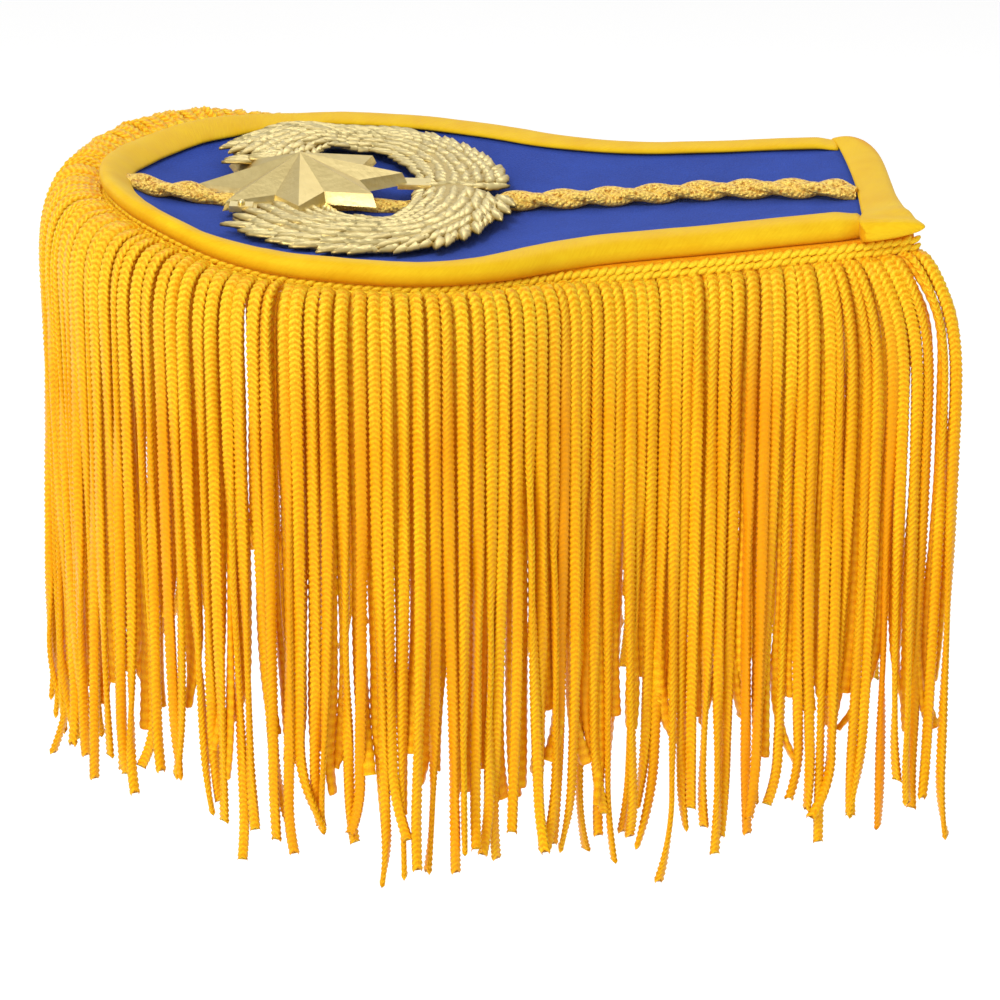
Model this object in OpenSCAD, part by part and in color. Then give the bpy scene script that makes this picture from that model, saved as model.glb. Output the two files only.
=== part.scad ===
// Fringe epaulette: a felt board with satin edges, a braid, a badge and a hanging cord fringe.
// +X runs to the neck end, -X to the round outer end, -Y to the front, +Z up.
// The origin is on the underside of the board, at the lowest point of its dish, where it is pinned on.

/* [Board] */
// Radius of the round outer end, over the binding
end_r = 54.5; // [50:0.5:58]
// Distance of the centre of the round end from the origin
end_x = 29; // [26:0.5:32]
// Distance of the neck end from the origin
neck_x = 72.5; // [70:0.5:76]
// Half width of the strap at the neck end
neck_half = 29.3; // [27:0.1:32]
// How much the half width of the strap grows for each millimetre away from the neck
taper = 0.126; // [0.1:0.002:0.15]
// Radius of the hollow corner where the strap meets the round end
corner_r = 60; // [50:1:70]
// Radius of the shallow dish that the board is bent to
dish_r = 500; // [450:10:700]
// Thickness of the felt covered board
board_t = 2.2; // [1.8:0.1:2.6]

/* [Binding] */
// Width of the satin binding on the face of the board
binding_w = 6; // [5:0.5:7]
// Thickness of the folded satin
binding_t = 0.9; // [0.7:0.1:1.2]
// Clearance between neighbouring pieces
gap = 0.25; // [0.2:0.05:0.3]

/* [Braid] */
// Half width of the centre braid
braid_half = 2.1; // [1.8:0.1:2.6]
// Thickness of the centre braid
braid_t = 1.1; // [0.9:0.1:1.2]
// Length of one wave of the braid
wave_l = 9.8; // [8:0.1:12]
// Sideways swing of the braid's waves
wave_a = 0.8; // [0.4:0.1:1.2]

/* [Badge] */
// Distance of the badge's centre from the origin, towards the round end
badge_x = 32; // [30:0.5:34]
// Length of the wreath from its middle to the stems
wreath_a = 27; // [25:0.5:28]
// Length of the wreath from its middle to its open end, were it closed
wreath_open = 31; // [28:0.5:31]
// Half length of the wreath across the board
wreath_b = 42.5; // [40:0.5:43]
// Height of the underside of the badge above the origin
badge_z = 5.7; // [5.7:0.1:6.5]
// Slope of the badge, lower towards the neck
badge_tilt = 1.7; // [1.6:0.1:1.9]
// Radius over the star's tips
star_r = 20.75; // [18:0.25:22]
// Radius to the star's inner corners
star_in = 13; // [11:0.5:14]
// Height of the star's peak over its rim
star_h = 4.6; // [3:0.1:6]

/* [Fringe] */
// Length of the fringe below the board
fringe_l = 122; // [100:1:140]
// Distance between neighbouring locks along the edge
lock_pitch = 6.6; // [6:0.1:8]
// Thickness of a lock
lock_t = 3; // [2:0.1:4]
// How far the fringe stands out from the edge along the strap
bulge_strap = 5.5; // [4:0.5:7]
// How far the fringe stands out from the edge at the round end's tip
bulge_tip = 12.5; // [9:0.5:14]

/* [Pin] */
// Length of the hidden bar pin
pin_l = 40; // [30:1:50]
// Diameter of the pin's wire
pin_d = 1.2; // [1:0.1:1.5]

/* [Hidden] */

felt_blue = [0.22, 0.28, 0.62];
satin_yellow = [0.98, 0.80, 0.12];
braid_gold = [0.78, 0.58, 0.22];
badge_gold = [0.85, 0.78, 0.48];
cord_yellow = [0.98, 0.68, 0.05];
pin_steel = [0.75, 0.75, 0.78];

// Outline: the strap's edge is the line y = strap_0 - taper * x, and the hollow corner's circle
// touches that line and the circle of the round end.
strap_0 = neck_half + taper * neck_x;
slope_n = sqrt(1 + taper * taper);
corner_c0 = strap_0 + corner_r * slope_n;
reach = end_r + corner_r;
corner_b = end_x - taper * corner_c0;
corner_a = 1 + taper * taper;
corner_x = (-corner_b + sqrt(corner_b * corner_b
            - corner_a * (end_x * end_x + corner_c0 * corner_c0 - reach * reach))) / corner_a;
corner_y = corner_c0 - taper * corner_x;
// Directions, seen from the round end's centre and from the corner's centre, where the arcs meet.
meet_angle = atan2(corner_y, corner_x + end_x);
strap_angle = atan2(-1, -taper);
strap_touch_x = corner_x + corner_r * cos(strap_angle);

// Lengths along one half of the edge, from the tip of the round end to the neck.
arc_l = end_r * (180 - meet_angle) * PI / 180;
corner_l = corner_r * (strap_angle + 180 - meet_angle) * PI / 180;
strap_l = (neck_x - strap_touch_x) * slope_n;
half_l = arc_l + corner_l + strap_l;

// The neck end's strip from the front to the rear: y, the inner and the outer edge's x, both
// measured from the neck end, and how much of the fold is open. The front corner flares out past
// the strap, and the fold is sewn shut at both of its ends.
END_Y = 0;
END_IN = 1;
END_OUT = 2;
END_OPEN = 3;
end_rows = [
    [-33.5, -8.0, 1.5, 0.2],
    [-31.2, -12.5, 1.2, 0.2],
    [-30.5, -12.3, 1.0, 1],
    [-20.0, -11.2, 0.4, 1],
    [-5.0, -9.8, 0.2, 1],
    [10.0, -8.4, 0.0, 1],
    [24.0, -7.2, -0.4, 1],
    [29.9, -6.7, -1.3, 1],
    [30.6, -6.6, -1.6, 0.2]
];
// Where the board stops short of the neck end, inside the strip.
board_stop = 2.5;
// Where the side binding stops, on the front and on the rear, measured from the neck end.
front_stop = 12.9;
rear_stop = 7.5;
// Where the braid stops short of the neck end, at the strip's inner edge.
braid_stop = 9.8;

// The fringe from its heading to its ends: how far out, as a share of the bulge, how far down, as
// a share of the fringe's length, its thickness, as a share of the full thickness, and half the
// width of a lock, as a share of the pitch. Down to the split row the locks are joined.
OUT = 0;
DOWN = 1;
THICK = 2;
WIDTH = 3;
fringe_rows = [
    [-0.38, 0.0265, 0.40, 0.50],
    [-0.20, 0.0230, 0.60, 0.50],
    [0.30, 0.0190, 0.60, 0.50],
    [0.78, 0.0340, 0.85, 0.50],
    [1.00, 0.1100, 1.00, 0.50],
    [0.98, 0.3800, 1.00, 0.50],
    [0.96, 0.7000, 0.95, 0.45],
    [0.94, 0.9000, 0.80, 0.39],
    [0.93, 1.0000, 0.50, 0.22]
];
split_row = 5;
// Lean of the fringe towards the neck at the strap's end, the length of edge over which it
// grows, and the share of the fringe's length by which it is reached.
lean = 6;
lean_l = 16;
lean_full = 0.11;

// The binding's fold from the face's inner edge round to the underside: distance from the outer
// edge and height over the board's underside, for the outer skin and then for the inner skin.
fold_out = [
    [binding_w, board_t + 0.7 * binding_t],
    [0.6 * binding_w, board_t + 1.3 * binding_t],
    [0.1 * binding_w, board_t + binding_t],
    [0, 0.5 * board_t],
    [0.1 * binding_w, -0.8 * binding_t],
    [0.7 * binding_w, -binding_t]
];
fold_in = [
    [binding_w, board_t + gap],
    [0.6 * binding_w, board_t + gap],
    [binding_t, board_t + gap],
    [binding_t, 0.5 * board_t],
    [binding_t, -gap],
    [0.7 * binding_w, -gap]
];

// Leaves and plate of the wreath: thickness of the plate, size of a leaf, width of the band, half
// angle of the opening at its end, and leaves in a row on each side.
plate_t = 0.9;
leaf_l = 9.5;
leaf_w = 4.8;
leaf_h = 1.5;
band_w = 16;
mouth = 35;
leaves = 12;
// Rows of leaves: share of the band's width from its inner edge, lean to the inside, size as a
// share of a full leaf, and lift over the plate.
LEAF_PLACE = 0;
LEAF_LEAN = 1;
LEAF_SIZE = 2;
LEAF_LIFT = 3;
leaf_rows = [
    [0.14, 24, 0.80, 0.0],
    [0.50, 0, 1.05, 0.5],
    [0.88, -26, 0.95, 0.1]
];
// The star: its centre from the badge's centre, the level and depth of its rim, and how much
// longer it is across the board than along it.
star_x = -12.6;
star_y = -1.5;
rim_z = 1.05;
rim_t = 1.5;
star_stretch = 1.08;

function dish(x, y) = dish_r - sqrt(dish_r * dish_r - x * x - y * y);
function mix(a, b, t) = a + (b - a) * t;

// Point and outward direction on the front half of the edge, s millimetres from the tip.
function round_point(s) = let(a = 180 + s / end_r * 180 / PI)
    [-end_x + end_r * cos(a), end_r * sin(a), cos(a), sin(a)];
function corner_point(s) = let(a = meet_angle - 180 + s / corner_r * 180 / PI)
    [corner_x + corner_r * cos(a), -corner_y - corner_r * sin(a), -cos(a), sin(a)];
function strap_point(s) = let(x = strap_touch_x + s / slope_n)
    [x, -(strap_0 - taper * x), taper / slope_n, -1 / slope_n];
function front_point(s) = s < arc_l ? round_point(s)
    : s < arc_l + corner_l ? corner_point(s - arc_l)
    : strap_point(s - arc_l - corner_l);
function edge_point(s) = let(p = front_point(abs(s)))
    s < 0 ? [p[0], -p[1], p[2], -p[3]] : p;
// Distance along the edge at which the strap reaches x.
function strap_s(x) = arc_l + corner_l + (x - strap_touch_x) * slope_n;

// A point at a distance inside the edge and a height over the dish.
function edge_at(s, inward, h) = let(
    p = edge_point(s),
    x = p[0] - inward * p[2],
    y = p[1] - inward * p[3])
    [x, y, dish(x, y) + h];

// Repeatable scatter between -1 and 1 for item i of kind k.
function scatter(i, k) = let(v = sin(i * 127.1 + k * 311.7) * 437.5)
    2 * (v - floor(v)) - 1;

// Two triangles of a four-sided face whose corners are given anticlockwise from outside.
function quad(a, b, c, d) = [[c, b, a], [d, c, a]];

// A closed solid between two grids of points, upper[i][j] over lower[i][j], where i runs along
// it and j runs across it, to the left of i when seen from the upper side.
module sheet(upper, lower) {
    n = len(upper);
    m = len(upper[0]);
    low = n * m;
    polyhedron(
        points = concat([for (row = upper) for (p = row) p], [for (row = lower) for (p = row) p]),
        faces = concat(
            [for (i = [0:n - 2]) for (j = [0:m - 2]) for (f = quad(i * m + j, (i + 1) * m + j,
                (i + 1) * m + j + 1, i * m + j + 1)) f],
            [for (i = [0:n - 2]) for (j = [0:m - 2]) for (f = quad(low + i * m + j,
                low + i * m + j + 1, low + (i + 1) * m + j + 1, low + (i + 1) * m + j)) f],
            [for (i = [0:n - 2]) for (f = quad(i * m, low + i * m, low + (i + 1) * m, (i + 1) * m)) f],
            [for (i = [0:n - 2]) for (f = quad((i + 1) * m - 1, (i + 2) * m - 1,
                low + (i + 2) * m - 1, low + (i + 1) * m - 1)) f],
            [for (j = [0:m - 2]) for (f = quad(j, j + 1, low + j + 1, low + j)) f],
            [for (j = [0:m - 2]) let(e = (n - 1) * m + j)
                for (f = quad(e, low + e, low + e + 1, e + 1)) f]
        )
    );
}

// Stations of the board: distances along the edge from near the tip to the neck.
tip_start = 4;
round_steps = 11;
corner_steps = 3;
function board_stations() = concat(
    [for (i = [0:round_steps]) mix(tip_start, arc_l, i / round_steps)],
    [for (i = [1:corner_steps]) arc_l + corner_l * i / corner_steps],
    [strap_s(mix(strap_touch_x, neck_x, 0.5)), strap_s(neck_x - board_stop)]
);

module felt_board() {
    inset = binding_t + gap;
    across = 8;
    function row(s, h) = let(p = edge_point(s), x = p[0] - inset * p[2], w = -(p[1] - inset * p[3]))
        [for (j = [0:across]) let(y = mix(-w, w, j / across)) [x, y, dish(x, y) + h]];
    color(felt_blue)
        sheet([for (s = board_stations()) row(s, board_t)], [for (s = board_stations()) row(s, 0)]);
}

// Satin folded round the side edge: it covers a strip of the board's top and of its underside.
module edge_binding() {
    first = -strap_s(neck_x - rear_stop);
    last = strap_s(neck_x - front_stop);
    steps = 50;
    function row(s, fold) = [for (f = fold) edge_at(s, f[0], f[1])];
    stations = [for (i = [0:steps]) mix(first, last, i / steps)];
    color(satin_yellow)
        sheet([for (s = stations) row(s, fold_in)], [for (s = stations) row(s, fold_out)]);
}

// A wider strip of satin folded over the neck end. Its skin and its lining are given as x and
// height over the board's underside, from the face's inner edge round to the underside.
module end_binding() {
    round_off = 0.6;
    function skin(a, b) = [
        [a, board_t + 0.9 * binding_t],
        [mix(a, b, 0.6), board_t + 1.2 * binding_t],
        [b - round_off, board_t + binding_t],
        [b, 0.5 * board_t],
        [b - round_off, -binding_t],
        [mix(a, b, 0.2), -binding_t]
    ];
    function lining(a, slot) = [
        [a, board_t + gap],
        [mix(a, slot, 0.6), board_t + gap],
        [slot, board_t + gap],
        [slot, 0.5 * board_t],
        [slot, -gap],
        [mix(a, slot, 0.25), -gap]
    ];
    function row(y, section) = [for (p = section) [p[0], y, dish(p[0], y) + p[1]]];
    deep = neck_x - board_stop + gap;
    shallow = 0.6;
    color(satin_yellow)
        sheet(
            [for (r = end_rows) let(a = neck_x + r[END_IN])
                row(r[END_Y], lining(a, mix(a + shallow, deep, r[END_OPEN])))],
            [for (r = end_rows) row(r[END_Y], skin(neck_x + r[END_IN], neck_x + r[END_OUT]))]
        );
}

// A narrow wavy braid down the middle, crowned along its own centre line.
module centre_braid() {
    first = -end_x - end_r + binding_w + 2 * gap;
    last = neck_x - braid_stop;
    steps = 70;
    function mid(x) = wave_a * sin(x / wave_l * 360);
    // Heights over the board at four places across the braid.
    function row(x, heights) = [for (j = [0:3]) let(y = mid(x) + braid_half * across[j])
        [x, y, dish(x, y) + board_t + heights[j]]];
    across = [-1, -0.4, 0.4, 1];
    top = [0.45 * braid_t, braid_t, braid_t, 0.45 * braid_t];
    bottom = [gap, gap, gap, gap];
    stations = [for (i = [0:steps]) mix(first, last, i / steps)];
    color(braid_gold)
        sheet([for (x = stations) row(x, top)], [for (x = stations) row(x, bottom)]);
}

// Point of the wreath's band at angle a from the neck side, with a share q of the band's width.
function wreath_point(a, q) = let(x = cos(a), inside = band_w * (1 - q))
    [((x > 0 ? wreath_a : wreath_open) - inside) * x, (wreath_b - inside) * sin(a)];

// A pointed leaf along +X from its foot, with a raised midrib.
module leaf(l, w) {
    hull() {
        polyhedron(
            points = [[0, 0, 0], [0.45 * l, -w / 2, 0], [l, 0, 0], [0.45 * l, w / 2, 0],
                [0.12 * l, 0, leaf_h], [0.62 * l, 0, 0.75 * leaf_h]],
            faces = [[0, 1, 2, 3], [4, 1, 0], [4, 5, 1], [5, 2, 1], [4, 0, 3], [4, 3, 5], [5, 3, 2]]
        );
    }
}

module wreath_plate() {
    steps = 36;
    reach = 180 - mouth;
    sheet_at([for (i = [0:steps]) let(a = mix(-reach, reach, i / steps))
        [wreath_point(a, mix(0.72, 0.97, min(1, abs(a) / 12))), wreath_point(a, 0.03)]], plate_t);
}
// A flat sheet of thickness t on a grid of plan points.
module sheet_at(grid, t) {
    sheet([for (row = grid) [for (p = row) [p[0], p[1], t]]],
        [for (row = grid) [for (p = row) [p[0], p[1], 0]]]);
}

// Leaves lie along the band from the stems to its open end, each over the foot of the next.
module wreath_leaves() {
    first = 7;
    last = 180 - mouth - 5;
    for (side = [-1, 1], i = [0:leaves - 1], r = leaf_rows) {
        a = mix(first, last, (i + 0.5 * r[LEAF_PLACE]) / (leaves - 1));
        p = wreath_point(a, r[LEAF_PLACE]);
        ahead = wreath_point(a + 2, r[LEAF_PLACE]);
        heading = atan2(ahead[1] - p[1], ahead[0] - p[0]) + r[LEAF_LEAN];
        mirror([0, side < 0 ? 1 : 0, 0])
            translate([p[0], p[1], 0.5 * plate_t + r[LEAF_LIFT]])
                rotate(heading)
                    translate([-0.3 * leaf_l, 0, 0])
                        leaf(leaf_l * r[LEAF_SIZE], leaf_w * r[LEAF_SIZE]);
    }
}

// Two short stems leave the wreath at its neck side, one to each side of a notch.
module wreath_stems() {
    for (side = [-1, 1])
        hull() {
            translate([wreath_a - 0.75 * band_w, side * 2.5, 0])
                cylinder(h = plate_t + 0.9, d = 2.6, $fn = 8);
            translate([wreath_a + 0.2, side * 9, 0])
                cylinder(h = plate_t + 0.7, d = 3.4, $fn = 8);
        }
}

module star() {
    rim = [for (i = [0:15]) let(r = i % 2 == 0 ? star_r : star_in, a = i * 22.5)
        [r * cos(a), r * star_stretch * sin(a)]];
    polyhedron(
        points = concat([[0, 0, rim_t + star_h]], [for (p = rim) [p[0], p[1], rim_t]],
            [for (p = rim) [p[0], p[1], 0]], [[0, 0, 0]]),
        faces = concat(
            [for (i = [0:15]) [1 + (i + 1) % 16, 1 + i, 0]],
            [for (i = [0:15]) for (f = quad(1 + i, 17 + i, 17 + (i + 1) % 16, 1 + (i + 1) % 16)) f],
            [for (i = [0:15]) [33, 17 + i, 17 + (i + 1) % 16]]
        )
    );
}

// One stamped metal piece: a leaf wreath, open towards the round end, under a faceted star.
module badge() {
    color(badge_gold)
        translate([-badge_x, 0, badge_z])
            rotate([0, badge_tilt, 0]) {
                wreath_plate();
                wreath_leaves();
                wreath_stems();
                translate([star_x, star_y, rim_z])
                    star();
            }
}

// How far the fringe stands out, how much it fans out there and how far it leans towards the
// neck, s millimetres along the edge from the tip.
function bulge(s) = let(t = min(1, abs(s) / arc_l)) mix(bulge_tip, bulge_strap, t * t * (3 - 2 * t));
function fan(s, out) = abs(s) < arc_l ? 1 + out / end_r
    : abs(s) < arc_l + corner_l ? 1 - out / corner_r : 1;
function neck_lean(s) = sign(s) * lean * max(0, 1 - (half_l - abs(s)) / lean_l);

// Share of its length that lock or seam i has at row k, because splits and ends are uneven, and
// how far lock i sways to the side at its end.
split_scatter = 0.2;
end_scatter = 0.05;
sway_most = 0.75;
function uneven(k, i) = k == split_row ? 1 + split_scatter * scatter(i, 4)
    : k > split_row + 1 ? 1 - end_scatter * (1 + scatter(i, 1)) : 1;
function sway(k, i) = k > split_row ? sway_most * scatter(i, 3) * (2 * fringe_rows[k][DOWN] - 1) : 0;
// Middle of the fringe at row k in the plane across the edge: distance out and height over the
// board's underside.
function fringe_mid(k, s, i) =
    [fringe_rows[k][OUT] * bulge(s), -fringe_rows[k][DOWN] * fringe_l * uneven(k, i)];
// Direction out of the fringe's face at row k, in the same plane.
function fringe_face(k, s, i) = let(
    last = len(fringe_rows) - 1,
    step = fringe_mid(min(k + 1, last), s, i) - fringe_mid(max(k - 1, 0), s, i))
    [-step[1], step[0]] / norm(step);
// A point of row k, side times half the thickness off the middle and q along the edge from s.
function fringe_point(k, s, i, side, q) = let(
    p = edge_point(s),
    c = fringe_mid(k, s, i) + side * fringe_rows[k][THICK] * lock_t / 2 * fringe_face(k, s, i),
    lean_share = min(1, fringe_rows[k][DOWN] / lean_full),
    along = q * fan(s, c[0]) + neck_lean(s) * lean_share + sway(k, i))
    [p[0] + p[2] * c[0] - p[3] * along, p[1] + p[3] * c[0] + p[2] * along, dish(p[0], p[1]) + c[1]];

// The fringe: flat locks of strands round the edge, each with a ridge down its outside. Its first
// rows are the heading cord, sewn under the edge, that all the locks hang from.
module fringe() {
    count = 2 * floor(half_l / lock_pitch);
    step = 2 * half_l / count;
    rows = len(fringe_rows);
    joined = split_row + 1;
    inside = joined * (count + 1);
    ridges = 2 * inside;
    free = ridges + joined * count;
    function seam(j) = mix(-half_l, half_l, j / count);
    // Index of corner c of lock i at row k, where a lock's section has five corners.
    function corner(i, k, c) = k > split_row ? free + (i * (rows - joined) + k - joined) * 5 + c
        : c == 1 ? ridges + k * count + i
        : (c > 2 ? inside : 0) + k * (count + 1) + i + (c == 2 || c == 3 ? 1 : 0);
    function wall(i, k, c) = quad(corner(i, k, c), corner(i, k + 1, c),
        corner(i, k + 1, (c + 1) % 5), corner(i, k, (c + 1) % 5));
    function has_wall(i, k, c) = c == 2 ? k >= split_row || i == count - 1
        : c == 4 ? k >= split_row || i == 0 : true;
    color(cord_yellow)
        polyhedron(
            points = concat(
                [for (k = [0:split_row]) for (j = [0:count]) fringe_point(k, seam(j), j, 0.7, 0)],
                [for (k = [0:split_row]) for (j = [0:count]) fringe_point(k, seam(j), j, -1, 0)],
                [for (k = [0:split_row]) for (i = [0:count - 1])
                    fringe_point(k, seam(i + 0.5), i, 1.2 + 0.1 * scatter(i, 2), 0)],
                [for (i = [0:count - 1]) for (k = [joined:rows - 1])
                    let(s = seam(i + 0.5), w = fringe_rows[k][WIDTH] * step)
                    for (p = [[0.7, -w], [1.2, 0], [0.7, w], [-1, w], [-1, -w]])
                        fringe_point(k, s, i, p[0], p[1])]
            ),
            faces = concat(
                [for (i = [0:count - 1]) for (k = [0:rows - 2]) for (c = [0:4])
                    if (has_wall(i, k, c)) for (f = wall(i, k, c)) f],
                [for (i = [0:count - 1]) for (c = [1:3])
                    [corner(i, 0, c + 1), corner(i, 0, c), corner(i, 0, 0)]],
                [for (i = [0:count - 1]) for (c = [1:3])
                    [corner(i, rows - 1, 0), corner(i, rows - 1, c), corner(i, rows - 1, c + 1)]]
            )
        );
}

// A plain bar pin under the board: a base strip, a pin on a knuckle and a catch.
module pin_back() {
    base_w = 5;
    base_t = 0.8;
    post = 2;
    inset = 1;
    drop = 3;
    bite = 0.1;
    post_h = drop + pin_d / 2 + bite;
    color(pin_steel)
        translate([0, 0, -gap - base_t]) {
            translate([-pin_l / 2, -base_w / 2, 0])
                cube([pin_l, base_w, base_t]);
            for (x = [-pin_l / 2 + inset, pin_l / 2 - inset - post])
                translate([x, -post / 2, bite - post_h])
                    cube([post, post, post_h]);
            translate([-pin_l / 2 + inset, 0, -drop])
                rotate([0, 90, 0])
                    cylinder(h = pin_l - 2 * inset, d = pin_d, $fn = 32);
        }
}

felt_board();
edge_binding();
end_binding();
centre_braid();
badge();
fringe();
pin_back();
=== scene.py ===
# %% [markdown]
# # A fringed epaulette
# The object is a stiff board in blue felt, bound in yellow satin, with a braid, a stamped badge
# and over three hundred hanging cords. The solid model says where each piece lies and how big it
# is. This lesson gives each piece its finished surface, one cell at a time, in metres, and with
# the same origin: the lowest point of the board's underside. Loading the frame comes first.

# %% Load the frame
import math

import bpy
import numpy as np
from mathutils import Matrix, Vector


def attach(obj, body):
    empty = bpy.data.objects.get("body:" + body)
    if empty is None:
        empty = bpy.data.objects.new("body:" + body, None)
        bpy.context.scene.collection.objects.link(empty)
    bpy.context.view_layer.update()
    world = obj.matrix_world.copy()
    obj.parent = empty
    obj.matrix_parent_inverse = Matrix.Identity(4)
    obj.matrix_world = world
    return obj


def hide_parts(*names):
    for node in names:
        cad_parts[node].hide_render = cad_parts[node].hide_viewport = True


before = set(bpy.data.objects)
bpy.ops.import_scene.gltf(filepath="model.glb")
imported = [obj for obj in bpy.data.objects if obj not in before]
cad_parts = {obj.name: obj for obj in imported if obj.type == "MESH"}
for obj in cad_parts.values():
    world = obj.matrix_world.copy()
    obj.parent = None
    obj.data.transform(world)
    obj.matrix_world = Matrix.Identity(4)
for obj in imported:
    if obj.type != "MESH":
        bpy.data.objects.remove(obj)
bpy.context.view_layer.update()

MM = 0.001
BODY = "root"
scene = bpy.context.scene
print("nodes:", ", ".join(sorted(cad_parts)))

# %% [markdown]
# ## The camera
# The epaulette was photographed from the front, with a long lens that looks down by about twenty
# degrees, so its front edge and its top both show. The camera comes before anything else, because
# every later choice is judged through it. A focal length of 129 mm on the usual 36 mm sensor
# frames the object with a little room all round. A wide lens close by would frame it too, but it
# would stretch the near corner.

# %% Set up the camera
VIEW_DOWN = math.radians(21)
CAMERA_PLACE = Vector((-0.0059, -0.6733, 0.1993))
FOCAL_LENGTH = 129.0


def add_object(name, data):
    thing = bpy.data.objects.new(name, data)
    scene.collection.objects.link(thing)
    return thing


lens = bpy.data.cameras.new("camera")
lens.lens = FOCAL_LENGTH
lens.sensor_width = 36.0
lens.clip_start = 0.05
camera = add_object("camera", lens)
camera.location = CAMERA_PLACE
camera.rotation_euler = (math.pi / 2 - VIEW_DOWN, 0, 0)
scene.camera = camera
print("camera", round(CAMERA_PLACE.length, 3), "m from the origin")

# %% [markdown]
# ## Light and floor
# A white sweep and soft boxes give the even light of a product picture. One strong lamp would be
# simpler, but its hard shadows would hide the gaps between the cords. The stamped metal needs
# something dark to mirror, or it turns flat, so the surroundings are white above and behind and
# greyer on the camera's side. The epaulette is held up as on a shoulder, and the floor is well
# below it.

# %% Make the lights and the floor
FLOOR_DROP = 0.34
FLOOR_REACH = 6.0
LIGHTS = (
    # name, place, width, height, watts
    ("key", (-0.45, -0.75, 1.00), 0.40, 0.40, 8.0),
    ("front", (-0.62, -1.10, 0.32), 0.80, 0.50, 4.5),
    ("back", (0.15, 0.90, 0.85), 1.20, 0.40, 2.5),
)
for name, place, width, height, watts in LIGHTS:
    lamp = bpy.data.lights.new(name, "AREA")
    lamp.shape = "RECTANGLE"
    lamp.size = width
    lamp.size_y = height
    lamp.energy = watts
    light = add_object(name, lamp)
    light.location = place
    light.rotation_mode = "QUATERNION"
    light.rotation_quaternion = (-Vector(place)).to_track_quat("-Z", "Y")

floor_mesh = bpy.data.meshes.new("floor")
floor_mesh.from_pydata([(x * FLOOR_REACH, y * FLOOR_REACH, -FLOOR_DROP)
                        for x, y in ((-1, -1), (1, -1), (1, 1), (-1, 1))], [], [(0, 1, 2, 3)])
floor = add_object("floor", floor_mesh)
scene.view_settings.view_transform = "Standard"
print(len(LIGHTS), "soft boxes, and a floor", FLOOR_DROP, "m down")

# %% [markdown]
# ## Writing node trees as sums
# Both the finishes and the procedural shapes are node trees. Placing nodes one by one hides the
# idea behind them, so a small class wraps a socket: adding or multiplying two of them adds the
# Math node that does it. Any other node comes from one method, make, which sets the node up before
# it fills its sockets. Two short forms of it leave out the first half of the node's name.

# %% A class that turns sums into nodes
class Flow:
    """A socket of a node tree. Sums on it add Math nodes, and make() adds any other node."""

    def __init__(self, tree, socket=None):
        self.tree = tree
        self.socket = socket

    def make(self, kind, inputs=None, settings=None, output=0):
        """Adds a node, sets it up, fills its inputs and returns one of its outputs. Two settings are
        lists of their own: the numbers that a node captures, and the stops of a ramp."""
        node = self.tree.nodes.new(kind)
        for name, value in (settings or {}).items():
            if name == "capture":
                for kept, label in value:
                    node.capture_items.new(kept, label)
            elif name == "stops":
                for stop, (place, colour) in zip(node.color_ramp.elements, value):
                    stop.position = place
                    stop.color = (*colour, 1.0)
            else:
                setattr(node, name, value)
        for key, value in (inputs or {}).items():
            if isinstance(value, Flow):
                self.tree.links.new(value.socket, node.inputs[key])
            else:
                node.inputs[key].default_value = value
        return Flow(self.tree, node.outputs[output] if node.outputs else None)

    def shade(self, kind, *rest, **more):
        return self.make("ShaderNode" + kind, *rest, **more)

    def geo(self, kind, *rest, **more):
        return self.make("GeometryNode" + kind, *rest, **more)

    def out(self, name):
        """Another output of the same node."""
        return Flow(self.tree, self.socket.node.outputs[name])

    def math(self, operation, *values):
        return self.shade("Math", dict(enumerate(values)), {"operation": operation})

    def scaled(self, factor):
        return self.shade("VectorMath", {0: self, "Scale": factor}, {"operation": "SCALE"})

    def xyz(self, **parts):
        return self.shade("CombineXYZ", parts)


for sign, operation in (("add", "ADD"), ("sub", "SUBTRACT"), ("mul", "MULTIPLY"), ("truediv", "DIVIDE"),
                        ("mod", "FLOORED_MODULO")):
    setattr(Flow, f"__{sign}__", lambda a, b, kind=operation: a.math(kind, a, b))
    setattr(Flow, f"__r{sign}__", lambda a, b, kind=operation: a.math(kind, b, a))
print("nodes can be written as sums")

# %% [markdown]
# ## The outline
# The board is a shallow dish, so its height follows from a sphere. The finished board differs a
# little from that dish: its strap is straighter, its round end sinks inside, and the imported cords
# push its rim up. Its edge is a round end at the shoulder's point, a hollow corner and a straight,
# slightly tapered strap. It could be traced as a list of points, but the binding, the heading and
# every cord walk along it. So it is one function of a single distance s: nought at the round tip,
# positive along the front and negative along the rear.

# %% Work out the outline
END_R = 54.5 * MM
END_X = 29 * MM
NECK_X = 72.5 * MM
NECK_HALF = 29.3 * MM
TAPER = 0.126
CORNER_R = 60 * MM
BOARD_T = 2.2 * MM
GAP = 0.25 * MM

strap_0 = NECK_HALF + TAPER * NECK_X
slope = math.hypot(1, TAPER)
corner_0 = strap_0 + CORNER_R * slope
half_b = END_X - TAPER * corner_0
square_a = 1 + TAPER ** 2
square_c = END_X ** 2 + corner_0 ** 2 - (END_R + CORNER_R) ** 2
corner_x = (math.sqrt(half_b ** 2 - square_a * square_c) - half_b) / square_a
corner_y = corner_0 - TAPER * corner_x
meet = math.atan2(corner_y, corner_x + END_X)
strap_turn = math.atan2(-1, -TAPER)
touch_x = corner_x + CORNER_R * math.cos(strap_turn)
ARC_L = END_R * (math.pi - meet)
CORNER_L = CORNER_R * (strap_turn + math.pi - meet)
HALF_L = ARC_L + CORNER_L + (NECK_X - touch_x) * slope
print("half of the edge is", round(HALF_L / MM, 1), "mm long")

# %% Curve the board
DISH_R = 500 * MM
STRAP_LIFT = 0.9 * MM
END_SAG = 1.2 * MM
RIM_UP = 3.3 * MM
TIP_ASLANT = 1.1
REAR_LOWER = 0.5


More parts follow.
